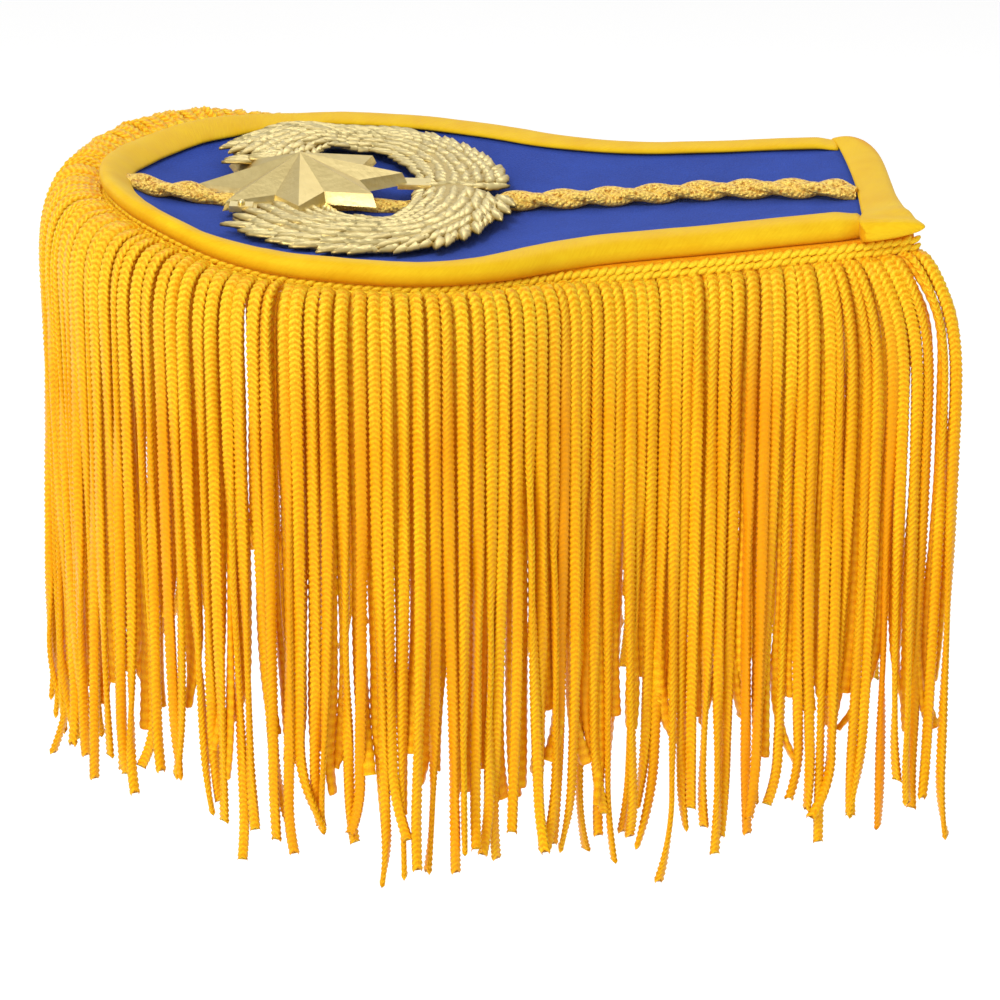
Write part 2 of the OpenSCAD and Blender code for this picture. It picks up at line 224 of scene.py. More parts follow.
def eased(t, start, stop):
    """Goes smoothly from 0 to 1 as t goes from start to stop."""
    t = np.clip((np.asarray(t) - start) / (stop - start), 0, 1)
    return t * t * (3 - 2 * t)


def plain_dish(x, y):
    return DISH_R - np.sqrt(DISH_R ** 2 - x ** 2 - y ** 2)


def dish(x, y):
    """Height of the finished board's underside."""
    strap = STRAP_LIFT * eased(x, -20 * MM, 14 * MM) * (1 - 0.9 * eased(x, 44 * MM, 72 * MM))
    sag = END_SAG * eased(-x, 38 * MM, 62 * MM)
    aslant = (TIP_ASLANT * np.clip(y / (20 * MM), -1, 1) * eased(-x, 56 * MM, 80 * MM)
              + REAR_LOWER * np.clip(y / (40 * MM), 0, 1))
    near_rim = eased(np.hypot(x + END_X, y), 43 * MM, 56 * MM) * eased(-x, 40 * MM, 72 * MM)
    return plain_dish(x, y) + strap - sag + (RIM_UP - aslant * MM) * near_rim


tip_height = float(dish(-END_X - END_R, 0.0))
print("the round tip lies", round(tip_height / MM, 1), "mm over the lowest point")

# %% Walk along the edge
def edge(s):
    """Place and outward direction on the edge: x, y, and the direction's x and y."""
    s = np.asarray(s, float)
    far = np.abs(s)
    turn = math.pi + far / END_R
    round_end = np.stack([-END_X + END_R * np.cos(turn), END_R * np.sin(turn), np.cos(turn), np.sin(turn)])
    turn = meet - math.pi + (far - ARC_L) / CORNER_R
    corner = np.stack([corner_x + CORNER_R * np.cos(turn), -corner_y - CORNER_R * np.sin(turn),
                       -np.cos(turn), np.sin(turn)])
    x = touch_x + (far - ARC_L - CORNER_L) / slope
    strap = np.stack([x, TAPER * x - strap_0, np.full_like(x, TAPER / slope), np.full_like(x, -1 / slope)])
    found = np.where(far < ARC_L, round_end, np.where(far < ARC_L + CORNER_L, corner, strap))
    found[1::2] *= np.where(s < 0, -1, 1)
    return found


def strap_s(x):
    """Distance along the edge at which the strap reaches x."""
    return ARC_L + CORNER_L + (x - touch_x) * slope


print("the strap begins", round((ARC_L + CORNER_L) / MM, 1), "mm from the tip")

# %% [markdown]
# ## Surroundings
# The world's colour depends only on where a ray goes, so it is the same in every view: white at
# the back and overhead, a mid grey behind the camera, where a dark studio would be. A picture of a
# real studio would be mirrored more finely, but on a badge this small a ramp between two colours
# does the same work.

# %% Colour the surroundings
WHITE_BACK = (1.0, 1.0, 1.0)
GREY_FRONT = (0.42, 0.41, 0.40)
SKY_STRENGTH = 0.70

world = bpy.data.worlds.new("studio")
scene.world = world
world.use_nodes = True
world.node_tree.nodes.clear()
sky = Flow(world.node_tree)
split = sky.shade("SeparateXYZ", {0: sky.shade("TexCoord", output="Generated")})
studio = sky.shade("ValToRGB", {0: split.out("Y") * 0.65 + split.out("Z") * 0.55 + 0.45},
                   {"stops": ((0.1, GREY_FRONT), (0.75, WHITE_BACK))})
backdrop = sky.shade("Background", {"Color": studio, "Strength": SKY_STRENGTH})
sky.shade("OutputWorld", {"Surface": backdrop})
print("the world has", len(world.node_tree.nodes), "nodes")

# %% [markdown]
# ## Mixing a finish
# Every finish is one Principled BSDF. What is the same all over goes on its sockets as a value, and
# only colour, roughness and the bump are linked. The patterns are noises on Object coordinates, so
# they stay on the piece and need no unwrapping. Where a pattern follows the thread or the relief,
# as on cloth, cords and brass, it reads a UV map or numbers that the mesh keeps for each point.

# %% Start a finish
def start_material(name, **constants):
    """A material with one Principled BSDF: the material, its shader and the place on the object.
    Values that are the same all over go on the shader's sockets."""
    material = bpy.data.materials.new(name)
    material.use_nodes = True
    material.node_tree.nodes.clear()
    shader = Flow(material.node_tree).shade("BsdfPrincipled")
    for label, value in constants.items():
        shader.socket.node.inputs[label.replace("_", " ")].default_value = value
    shader.shade("OutputMaterial", {"Surface": shader})
    print("finish", name)
    return material, shader, shader.shade("TexCoord", output="Object")


def feed(shader, **sockets):
    """Links what varies over the surface to the shader."""
    for label, value in sockets.items():
        shader.tree.links.new(value.socket, shader.socket.node.inputs[label.replace("_", " ")])


print("one shader for each finish")

# %% Patterns and colours
def blended(share, first, second):
    """A colour that goes from the first to the second as share goes from 0 to 1."""
    first, second = (c if isinstance(c, Flow) else (*c, 1.0) for c in (first, second))
    return share.shade("Mix", {0: share, 6: first, 7: second}, {"data_type": "RGBA"}, 2)


def bumped(height, strength, distance):
    return height.shade("Bump", {"Height": height, "Strength": strength, "Distance": distance})


def stored(shader, name):
    """A number that the mesh keeps for each point."""
    return shader.shade("Attribute", None, {"attribute_name": name}, "Fac")


def noise(place, scale, detail=3.0):
    return place.shade("TexNoise", {"Vector": place, "Scale": scale, "Detail": detail})


def ramped(value, start, stop):
    """Goes evenly from 0 to 1 as the value goes from start to stop."""
    return value.shade("MapRange", {"Value": value, "From Min": start, "From Max": stop})


print("patterns ready")

# %% The floor's paper
PAPER, shader, place = start_material("floor_paper", Roughness=0.9, Emission_Strength=0.34,
                                      Emission_Color=(1.0, 1.0, 1.0, 1.0))
feed(shader, Base_Color=blended(noise(place, 3.0), (0.90, 0.90, 0.90), (0.93, 0.93, 0.93)))
floor_mesh.materials.append(PAPER)

# %% [markdown]
# ## Felt
# Felt has no weave, only short fibres pressed together. A picture of felt would repeat and show its
# seams, so two noises make it: a fine one for the fibres, which also gives the bump, and a broad one
# for the slightly uneven dye. A little sheen on the shader is the light that loose fibres catch at
# a low angle.

# %% The blue felt
FELT_DARK = (0.010, 0.028, 0.22)
FELT_LIGHT = (0.022, 0.070, 0.45)
FELT, shader, place = start_material("blue_felt", Roughness=0.92, Specular_IOR_Level=0.25,
                                     Sheen_Weight=0.16, Sheen_Tint=(0.35, 0.50, 1.0, 1.0))
fibres = noise(place, 2600.0, 5.0)
dye = noise(place, 130.0, 2.0)
feed(shader, Base_Color=blended(fibres * 1.3 + dye * 0.6 - 0.45, FELT_DARK, FELT_LIGHT),
     Normal=bumped(fibres, 0.6, 0.0003))

# %% [markdown]
# ## Satin
# The binding is satin cut on the bias: its threads lie at 45 degrees to the tape and float over
# several others, which gives long soft highlights. Noise on Object coordinates would run straight
# through the folds. The tape's UV map is in metres instead, so one sum of its two distances runs
# along the threads and the other across them. Where the tape turns under, its colour is deeper,
# because light only gets there from cloth and cords of the same colour.

# %% The yellow satin
SATIN_DEEP = (0.74, 0.38, 0.004)
SATIN_LIGHT = (0.87, 0.58, 0.016)
SATIN_SHADE = (0.70, 0.27, 0.002)
THREADS_PER_M = 2600.0
SATIN, shader, place = start_material("yellow_satin", Sheen_Weight=0.05, Specular_IOR_Level=0.1,
                                      Sheen_Tint=(1.0, 0.8, 0.25, 1.0),
                                      Specular_Tint=(1.0, 0.82, 0.35, 1.0))
split = shader.shade("SeparateXYZ", {0: shader.shade("UVMap", settings={"uv_map": "cloth"})})
across, along = split.out("X"), split.out("Y")
threads = noise(shader.xyz(X=(across + along) * THREADS_PER_M, Y=(across - along) * (THREADS_PER_M / 9)),
                1.0, 2.0)
face = blended(threads * 0.7 + noise(place, 160.0, 2.0) * 0.8 - 0.2, SATIN_DEEP, SATIN_LIGHT)
# painted shade: the colour deepens towards orange where the tape turns under
under = ramped(across, 7.0 * MM, 10.0 * MM)
feed(shader, Base_Color=blended(under * 0.8, face, SATIN_SHADE),
     Roughness=threads * 0.2 + 0.34, Normal=bumped(threads, 0.35, 0.0002))

# %% [markdown]
# ## Knitted cord
# A fringe cord is a narrow tube of knitting. A bump alone would leave its outline smooth, so its
# columns of stitches are real geometry, and the finish only has to colour them. Each point knows
# whether it lies on a stitch or in a groove, and how far its cord differs from the next one.
# Grooves are painted a deeper orange, a painted shade for the light that bounces between threads,
# each cord has a tone of its own, and a few are richer than the rest. The upper ends, which bend
# over the edge and face the light from above, are painted paler: painted light.

# %% The golden cord
CORD_GROOVE_SHADE = (0.79, 0.280, 0.001)
CORD_STITCH = (0.93, 0.455, 0.002)
CORD_BRIGHT = (0.97, 0.640, 0.009)
CORD_TOP_LIGHT = (0.98, 0.820, 0.040)
CORD_RICH = (0.93, 0.320, 0.001)
RICH_FROM = 0.85
# the faint orange emission is painted light: a glow for light that passes through and bounces between the
# cords
CORD, shader, place = start_material("fringe_cord", Sheen_Weight=0.12, Specular_IOR_Level=0.45,
                                     Sheen_Tint=(1.0, 0.7, 0.15, 1.0),
                                     Specular_Tint=(1.0, 0.76, 0.20, 1.0),
                                     Emission_Strength=0.04, Emission_Color=(1.0, 0.32, 0.0, 1.0))
stitch, shade = stored(shader, "stitch"), stored(shader, "shade")
fibres = noise(place, 3000.0, 2.0)
patches = noise(place, 65.0, 2.0) * 2.4 - 0.95
# painted light: the upper ends of the cords, highest on the board, are blended towards a paler yellow
top = ramped(shader.shade("SeparateXYZ", {0: place}, output="Z"), -26 * MM, -2 * MM)
body = blended(shade * 0.6 + patches * 0.7, CORD_STITCH, CORD_BRIGHT)
body = blended(shade * 6.0 - 6.0 * RICH_FROM, body, CORD_RICH)
body = blended(top * 0.7, body, CORD_TOP_LIGHT)
# the stitch number is low in the grooves and seams, where the colour darkens: painted shade
feed(shader, Base_Color=blended(stitch + fibres * 1.5 - 0.8, CORD_GROOVE_SHADE, body),
     Roughness=fibres * 0.25 + 0.27, Normal=bumped(fibres, 0.5, 0.0002))

# %% [markdown]
# ## Metal thread
# The braid is wound with fine metal foil, which glitters: every loop mirrors something else. Single
# loops as geometry would cost more faces than all the cords together. A strong fine bump under a
# partly metallic surface scatters the highlights in the same way.

# %% The gold braid
LUREX_DARK = (0.46, 0.15, 0.004)
LUREX_LIGHT = (1.00, 0.70, 0.14)
# the faint orange emission is painted light, a glow with no lamp behind it
BRAID, shader, place = start_material("gold_braid", Metallic=0.3, Specular_IOR_Level=0.3,
                                      Emission_Strength=0.06, Emission_Color=(1.0, 0.45, 0.05, 1.0))
loops = shader.shade("TexVoronoi", {"Vector": place, "Scale": 1300.0})
fibres = noise(place, 1500.0, 3.0)
# the speckle is partly the thread's own tone and partly painted glints and painted shade between the loops
feed(shader, Base_Color=blended(fibres * 4.0 - loops * 0.8 - 0.75, LUREX_DARK, LUREX_LIGHT),
     Roughness=fibres * 0.25 + 0.18, Normal=bumped(fibres - loops, 1.0, 0.0005))

# %% [markdown]
# ## Stamped brass
# The badge is thin brass, stamped and plated in pale gold. It is smoother where it was polished,
# and in the hollows between the leaves its colour is painted darker and browner: painted shade.
# A picture of such a mask wouldn't follow when a leaf is moved, so each point stores a number,
# mostly from how high in the relief it lies, which the finish reads for both the painted shade and
# the roughness. The hidden pin is plain drawn steel, with fine lines along it.

# %% The brass and the steel
BRASS_LIGHT = (0.86, 0.71, 0.33)
BRASS_HOLLOW_SHADE = (0.42, 0.29, 0.08)
BRASS, shader, place = start_material("badge_brass", Metallic=1.0)
relief = stored(shader, "relief")
grain = noise(place, 800.0, 4.0)
broad = noise(place, 260.0, 2.0)
# painted shade: the colour darkens towards the hollows, where the stored number is low; the roughness follows
# the same number
feed(shader, Base_Color=blended(relief * 1.2 + broad * 0.3 - 0.1, BRASS_HOLLOW_SHADE, BRASS_LIGHT),
     Roughness=0.44 - relief * 0.16 + grain * 0.10, Normal=bumped(grain, 0.35, 0.0004))

STEEL, shader, place = start_material("pin_steel", Metallic=1.0)
drawn = noise(shader.shade("Mapping", {0: place, "Scale": (120.0, 2400.0, 2400.0)}), 1.0, 3.0)
feed(shader, Base_Color=blended(drawn, (0.55, 0.55, 0.57), (0.78, 0.78, 0.80)),
     Roughness=drawn * 0.2 + 0.2, Normal=bumped(drawn, 0.15, 0.0001))

# %% [markdown]
# ## Solids from grids of points
# The board, the tapes and the badge's band are long pieces whose section changes on the way. An
# extruded curve keeps one section, so each of them is a grid instead: a row of points once round
# every section. One helper closes such a grid into a solid, with a UV map in metres that a weave
# can follow. Another says which body a finished piece rides on, and which solid it stands for.

# %% Close a grid of points
def store(mesh, **kept):
    """Keeps numbers for every point of a mesh, for a material to read."""
    for name, values in kept.items():
        values = np.full(len(mesh.vertices), values, np.float32)
        mesh.attributes.new(name, "FLOAT", "POINT").data.foreach_set("value", values)


def closed_loft(name, rows, material, across=None, along=None, **kept):
    """A closed solid through rows of points that each go once round a section. across and along are
    the UV map's two distances in metres for every point, or else x and y. Numbers are kept too."""
    rows = np.asarray(rows)
    count, around = rows.shape[:2]
    index = np.arange(count * around).reshape(count, around)
    here, there = index[:-1], index[1:]
    quads = np.stack([here, there, np.roll(there, -1, 1), np.roll(here, -1, 1)], -1).reshape(-1, 4)
    faces = quads.tolist() + [index[0].tolist(), index[-1][::-1].tolist()]
    mesh = bpy.data.meshes.new(name)
    mesh.from_pydata(rows.reshape(-1, 3).tolist(), [], faces)
    uv = mesh.uv_layers.new(name="cloth")
    corners = np.zeros(len(mesh.loops), int)
    mesh.loops.foreach_get("vertex_index", corners)
    across = rows[..., 0] if across is None else across
    along = rows[..., 1] if along is None else along
    places = np.stack([np.asarray(across).ravel(), np.asarray(along).ravel()], -1)
    uv.data.foreach_set("uv", places[corners].ravel())
    mesh.polygons.foreach_set("use_smooth", [True] * len(mesh.polygons))
    mesh.materials.append(material)
    store(mesh, **kept)
    return add_object(name, mesh)


print("grids of points can be closed")

# %% Hand a piece over
def hand_over(piece, node):
    """Says which solid a piece stands for, and that it rides along."""
    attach(piece, BODY)
    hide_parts(node)
    print(piece.name, sum(len(p.vertices) - 2 for p in piece.data.polygons), "triangles")
    return piece


print("pieces ride on the body", BODY)

# %% [markdown]
# ## The felt board
# Stiff card between two layers of felt, cut to the outline and bent to a shallow dish. A flat shape
# could be cut out and bent by a modifier, but the outline and the dish are formulas already, so the
# points are put straight onto them. Rows run across the board from the tip to the neck, close
# together at the tip, where the width changes fastest. Over the pin the underside keeps to the
# plain dish, so the pin still fits.

# %% Make the felt board
TAPE_T = 0.9 * MM
FELT_INSET = TAPE_T + GAP
BOARD_STOP = 4.5 * MM
ACROSS = 36


def board_section(s):
    """One row of the board: along its top from front to rear, then back along its underside."""
    x, y, out_x, out_y = edge(s)
    x, half = x - FELT_INSET * out_x, np.maximum(FELT_INSET * out_y - y, 0.2 * MM)
    rear = half - 5 * MM * eased(x, NECK_X - 10 * MM, NECK_X - BOARD_STOP)
    share = np.linspace(0, 1, ACROSS)
    y = np.concatenate([share * (half + rear) - half, rear - share * (half + rear)])
    x = np.full_like(y, x)
    past_pin = np.maximum(eased(np.abs(x), 21 * MM, 34 * MM), eased(np.abs(y), 7 * MM, 18 * MM))
    under = plain_dish(x, y) + (dish(x, y) - plain_dish(x, y)) * past_pin
    return np.stack([x, y, np.where(np.arange(2 * ACROSS) < ACROSS, dish(x, y) + BOARD_T, under)], -1)


stations = np.concatenate([ARC_L * np.linspace(0.09, 1, 48) ** 1.5,
                           np.linspace(ARC_L, strap_s(NECK_X - BOARD_STOP), 42)[1:]])
rows = np.array([board_section(s) for s in stations])
felt = hand_over(closed_loft("felt_face", rows, FELT, rows[..., 1], rows[..., 0]),
                 "felt_board")

# %% [markdown]
# ## The binding
# Satin tape folded over the edge and sewn down. Its section is a short table: distance in from
# the edge, and height over the board's underside, once round the outside and back along the
# lining. The section is carried along the edge. A perfect sweep would look moulded, so small
# ripples go with it: tape that is eased round a curve always puckers a little on its inner side.

# %% Smooth lines and small ripples
def smooth_through(points, count):
    """A smooth line through a few points, as count points (Catmull-Rom)."""
    points = np.asarray(points, float)
    padded = np.concatenate([2 * points[:1] - points[1:2], points, 2 * points[-1:] - points[-2:-1]])
    spans = len(points) - 1
    t = np.linspace(0, spans, count)
    k = np.minimum(t.astype(int), spans - 1)
    t = (t - k)[:, None]
    a, b, c, d = (padded[k + n] for n in range(4))
    return 0.5 * (2 * b + (c - a) * t + (2 * a - 5 * b + 4 * c - d) * t ** 2
                  + (3 * b - a - 3 * c + d) * t ** 3)


def ripple(t, seed, scale):
    """A smooth wobble between about -1 and 1, from four waves with seeded phases."""
    rng = np.random.default_rng(seed)
    waves = [np.sin(t / scale * rate + rng.uniform(0, 6.283)) for rate in (1.0, 1.7, 2.9, 4.3)]
    return sum(w * share for w, share in zip(waves, (0.45, 0.3, 0.17, 0.08)))


wobble = ripple(np.linspace(0, 100, 1000), 1, 1.0)
print("a ripple swings between", round(wobble.min(), 2), "and", round(wobble.max(), 2))

# %% Make the edge binding
IN, UP = 0, 1
TAPE_OUTSIDE = (
    (6.00, 2.62), (5.95, 3.02), (5.20, 3.34), (3.60, 3.50), (2.00, 3.36), (0.80, 2.86),
    (0.15, 2.00), (0.00, 1.10), (0.20, 0.10), (0.90, -0.62), (2.20, -0.86), (4.20, -0.80))
TAPE_LINING = ((4.25, -0.25), (2.50, -0.25), (0.95, -0.22), (0.92, 2.42), (3.00, 2.46), (5.60, 2.46))
TAPE_W = 6 * MM
FRONT_STOP = 10.3 * MM
REAR_STOP = 9.6 * MM
TUCK_L = 5 * MM
TAPE_FIT = (
    # distance s along the edge in mm, how wide the tape lies, how far its crest is puffed up in mm
    (-200, 1.2, 0.3), (-150, 1.2, 0.3), (-110, 1.4, 0.2), (-60, 1.3, 0.3), (-20, 1.35, 0.3),
    (0, 1.1, 0.3), (20, 0.95, 0.1), (50, 1.0, 0.0), (80, 0.85, 0.0), (100, 0.95, 0.0),
    (120, 1.25, 0.6), (140, 1.3, 0.7), (200, 1.3, 0.6))

section = np.concatenate([smooth_through(TAPE_OUTSIDE, 30) * MM, np.array(TAPE_LINING) * MM])


def walked(line):
    """How far each point of a line is from its start, along the line."""
    return np.concatenate([[0], np.cumsum(np.linalg.norm(np.diff(line, axis=0), axis=1))])


def bound_rows(s):
    """The tape's section at each s, with ripples that are strongest on its inner side."""
    x, y, out_x, out_y = edge(s)
    top = np.clip(section[:, UP] / BOARD_T - 0.6, 0, 1) * np.linspace(1, 0.2, len(section))
    pucker = ripple(s, 11, 3.1 * MM) * (np.exp(-(s / (0.85 * ARC_L)) ** 4) * 0.8 + 0.35)
    fit = smooth_through(TAPE_FIT, 300)
    wide, puffed = (np.interp(s, fit[:, 0] * MM, fit[:, k]) for k in (1, 2))
    front, rear = strap_s(NECK_X - FRONT_STOP), strap_s(NECK_X - REAR_STOP)
    tucked = (eased(s, front - TUCK_L, front) + eased(-s, rear - TUCK_L, rear)) * TAPE_T
    inward = section[:, IN] * wide + top * (section[:, IN] / TAPE_W) * ripple(s, 5, 9 * MM) * 0.22 * MM
    inward = inward + tucked * (1 - section[:, IN] / TAPE_W)
    height = section[:, UP] + top * (0.10 * MM * pucker + 0.10 * MM * ripple(s + 0.4 * inward, 8, 7 * MM))
    height = height + top * (puffed * MM - tucked)
    x = x - inward * out_x
    y = y - inward * out_y
    return np.stack([x, y, dish(x, y) + height], -1)


stations = np.linspace(-strap_s(NECK_X - REAR_STOP), strap_s(NECK_X - FRONT_STOP), 420)[:, None]
rows = bound_rows(stations)
binding = closed_loft("satin_edge_tape", rows, SATIN, np.broadcast_to(walked(section), rows.shape[:2]),
                      np.broadcast_to(stations, rows.shape[:2]))
hand_over(binding, "edge_binding")

# %% [markdown]
# ## The neck end's strip
# A wider strip of the same satin closes the neck end. It isn't a plain rectangle: its rear corner
# is rounded, its front corner flares out past the strap, and it runs over both ends of the edge
# tape. Draping a flat sheet over the end would take a simulation, which is hard to steer. A table
# gives the strip's inner and outer edge at a few places, and smooth lines through them the rest.

# %% Make the neck end's strip
STRIP = (
    # y, inner edge, outer edge, both from the neck end, all in mm, and how far the fold is open
    (-34.3, -10.4, 0.2, 0.25), (-34.0, -11.0, 0.5, 0.60), (-33.2, -11.4, 0.6, 0.85),
    (-31.2, -11.4, 0.2, 1.0), (-26.0, -10.4, -0.9, 1.0), (-12.0, -9.7, -2.0, 1.0),
    (0.0, -9.4, -2.1, 1.0), (12.0, -9.7, -2.2, 1.0), (20.0, -10.1, -2.8, 1.0), (25.0, -10.6, -4.2, 1.0),
    (28.0, -11.1, -6.2, 0.95), (29.6, -11.3, -7.8, 0.7), (30.2, -11.3, -8.8, 0.25))
STRIP_RISE = 0.8 * MM
STRIP_MID = 1.1
FLAT_TIP = 0.6
SEWN_FROM = -30.3


def strip_section(inner, outer, opening, sewn):
    """Once round the folded strip, in mm: x from the neck end, and height over the underside. Past
    the strap's corner the fold is sewn shut, so the lining moves to its mouth."""
    w = outer - inner
    skin = [(inner, 2.75), (inner + 0.08, 3.15), (inner + 0.3 * w, 3.42), (inner + 0.65 * w, 3.42),
            (outer - 0.13 * w, 3.05), (outer - 0.03 * w, 2.2), (outer, 1.1), (outer - 0.04 * w, 0.0),
            (outer - 0.14 * w, -0.68), (outer - 0.4 * w, -0.9), (inner + 0.25 * w, -0.85)]
    lining = np.array([(inner + 0.26 * w, -0.35), (outer - 0.3 * w, -0.3), (outer - 0.26 * w, 2.4),
                       (inner + 0.3, 2.5)])
    shut = np.array([(inner + 0.15 * w, -0.8), (inner + 0.04 * w, -0.5), (inner, 0.8), (inner, 2.0)])
    line = np.concatenate([smooth_through(skin, 26), lining + (shut - lining) * sewn])
    pressed = 1 - FLAT_TIP * sewn * (line[:, 0] - inner) / w
    line[:, 1] = STRIP_MID + (line[:, 1] - STRIP_MID) * opening * pressed
    return line


rows, wide = [], []
for y, inner, outer, opening in smooth_through(STRIP, 72):
    line = strip_section(inner, outer, opening, float(eased(-y, -SEWN_FROM - 6, -SEWN_FROM)))
    rim = (eased(-y, 21, 28) + 0.3 * eased(y, 21, 28)) * np.clip(line[:, 1] / 2.2, 0, 1)
    wave = ripple(y, 21, 4.0) * 0.07 * np.clip(line[:, 1] - 2, 0, 1)
    x, height = NECK_X + line[:, 0] * MM, (line[:, 1] + wave) * MM + rim * STRIP_RISE
    y = np.full_like(x, y * MM)
    rows.append(np.stack([x, y, dish(x, y) + height], -1))
    wide.append(walked(line) * MM)
rows = np.array(rows)
end_strip = closed_loft("satin_neck_strip", rows[::-1], SATIN, wide, rows[..., 1])
hand_over(end_strip, "end_binding")

# %% [markdown]
# ## Shapes from node trees
# What repeats or follows a path is made by Geometry Nodes: a plait, rows of leaves, knitted cords,
# a row of stitches. Python could place every point of them, but a tree keeps the rule in one place,
# with its sizes as named inputs. Two helpers start and end such a tree. A third runs it on a few
# lines and keeps the result as a plain mesh, free of instances, because the export drops those.

# %% Start and end a tree
def new_tree(name, inputs):
    """An empty Geometry Nodes tree with named inputs, and its input sockets by name."""
    tree = bpy.data.node_groups.new(name, "GeometryNodeTree")
    labels = ("Geometry", *inputs, "Material")
    for label in labels:
        kind = label if label not in inputs else "Int" if isinstance(inputs[label], int) else "Float"
        socket = tree.interface.new_socket(label, in_out="INPUT", socket_type="NodeSocket" + kind)
        if label in inputs:
            socket.default_value = inputs[label]
    tree.interface.new_socket("Geometry", in_out="OUTPUT", socket_type="NodeSocketGeometry")
    entry = Flow(tree).make("NodeGroupInput")
    return entry, {label: entry.out(label) for label in labels}


def end_tree(geometry, material):
    """Ends a tree: smooth, dressed and free of instances, because the export drops those."""
    smooth = geometry.geo("SetShadeSmooth", {"Geometry": geometry})
    dressed = smooth.geo("SetMaterial", {"Geometry": smooth, "Material": material})
    real = dressed.geo("RealizeInstances", {"Geometry": dressed})
    real.make("NodeGroupOutput", {"Geometry": real})
    return real.tree


print("trees end without instances")

# %% Run a tree on lines
def grow(name, paths, tree, material, inputs=None, **per_point):
    """Runs a Geometry Nodes tree on straight-segmented lines, one for each path, and keeps what it
    makes as a plain mesh. per_point is a radius or a tilt for the points of every line."""
    data = bpy.data.curves.new("routes", "CURVE")
    data.dimensions = "3D"
    for k, path in enumerate(paths):
        spline = data.splines.new("POLY")
        spline.points.add(len(path) - 1)
        spline.points.foreach_set("co", np.column_stack([path, np.ones(len(path))]).ravel())
        for label, values in per_point.items():
            spline.points.foreach_set(label, values[k])
    source = add_object("routes", data)
    modifier = source.modifiers.new("tree", "NODES")
    modifier.node_group = tree
    sockets = {s.name: s.identifier for s in tree.interface.items_tree if s.in_out == "INPUT"}
    for label, value in {**(inputs or {}), "Material": material}.items():
        modifier[sockets[label]] = value
    bpy.context.view_layer.update()
    graph = bpy.context.evaluated_depsgraph_get()
    mesh = bpy.data.meshes.new_from_object(source.evaluated_get(graph), depsgraph=graph)
    bpy.data.objects.remove(source)
    mesh.name = name
    mesh.materials.clear()
    mesh.materials.append(material)
    return add_object(name, mesh)


print("trees run on lines")

# %% [markdown]
# ## The centre braid
# Three flat bundles of gold thread are plaited into a narrow braid with scalloped edges. Each
# bundle swings from side to side along the same line, a third of a swing behind the one before,
# and dips under its neighbours twice a swing. Drawn by hand, three such lines would never fit each
# other, so the rule itself is the tree: it copies the middle line three times, pushes the copies
# aside and up by sines, and sweeps a flat section. The braid lies flatter under the badge and at
# its sewn ends.

# %% A tree that plaits
PLAIT = {"Swing length": 27.0 * MM, "Swing": 1.55 * MM, "Lift": 0.6 * MM, "Half width": 1.8 * MM,
         "Half thickness": 1.05 * MM, "Strands": 3}


def oval(flow, columns, half_width, half_thickness):
    """A flat round section to sweep."""
    ring = flow.geo("CurvePrimitiveCircle", {"Resolution": columns, "Radius": 1.0})
    return flow.geo("Transform", {"Geometry": ring, "Scale": flow.xyz(X=half_width, Y=half_thickness, Z=1.0)})


flow, given = new_tree("plait", PLAIT)
line = flow.geo("ResampleCurve", {"Curve": given["Geometry"], "Length": 0.7 * MM}, {"mode": "LENGTH"})
copies = flow.geo("DuplicateElements", {"Geometry": line, "Amount": given["Strands"]},
                  {"domain": "SPLINE"})
far = flow.geo("SplineParameter", output="Length")
phase = (far / given["Swing length"] + copies.out("Duplicate Index") / given["Strands"]) * math.tau
full = flow.geo("InputRadius")
offset = flow.xyz(Y=flow.math("SINE", phase) * given["Swing"] * full,
                  Z=flow.math("SINE", phase * 2.0) * given["Lift"] * full)
placed = flow.geo("SetPosition", {"Geometry": copies, "Offset": offset})
upright = flow.geo("SetCurveNormal", {"Curve": placed}, {"mode": "Z_UP"})
section = oval(flow, 10, given["Half width"], given["Half thickness"])
bundle = flow.geo("CurveToMesh", {"Curve": upright, "Profile Curve": section, "Fill Caps": True})
plaiting = end_tree(bundle, given["Material"])
BRAID_LINE = (
    # places along the braid, in mm: it bends to the front at both ends
    (-78.0, -5.6), (-66.0, -6.3), (-45.0, -6.0), (-20.0, -4.9), (-3.0, -3.6), (9.0, -3.4),
    (22.0, -2.2), (34.0, -1.8), (46.0, -3.8), (55.0, -6.4), (62.4, -8.5))
BRAID_REST = 1.75 * MM
FLATTER = 0.55
THIN_TIP = 0.14
x, bend = smooth_through(BRAID_LINE, 150).T * MM
low = eased(x, -66 * MM, -60 * MM) * eased(-x, 4 * MM, 10 * MM) + eased(x, 59 * MM, 63 * MM)
full = 1 - FLATTER * (low + eased(-x, 74.5 * MM, 78 * MM)) - THIN_TIP * eased(-x, 66 * MM, 70 * MM)
middle = np.stack([x, bend, dish(x, bend) + BOARD_T + BRAID_REST * full], -1)
hand_over(grow("gold_centre_braid", [middle], plaiting, BRAID, radius=[full]),
          "centre_braid")

# %% [markdown]
# ## The badge's wreath
# The wreath is one stamping: a crowned band of thin metal, open towards the round end, covered
# with laurel leaves that overlap from the stems to the open tips. Carving the leaves out of one
# surface would need a very fine mesh, so the band is a plain grid and every leaf is a small solid
# that sinks into it. Eight lines to a branch carry the leaves, with three short ones at the neck
# side and on the rear tip.

# %% Make the band under the leaves
BADGE_X = 32 * MM
BADGE_Z = 5.7 * MM
BADGE_TILT = math.radians(1.7)
WREATH_A = 27 * MM
WREATH_OPEN = 31 * MM
WREATH_B = 42.5 * MM
BAND_W = 16 * MM
MOUTH = math.radians(35)
FRONT_WIDER = 0.28
SHEET_T = 0.45 * MM
CROWN = 1.15 * MM
REAR_LONGER = math.radians(6)
OVER_STAR = 1.9 * MM
FIRST_SHARE = 0.02
badge_frame = Matrix.Translation((-BADGE_X, 0, BADGE_Z)) @ Matrix.Rotation(BADGE_TILT, 4, "Y")


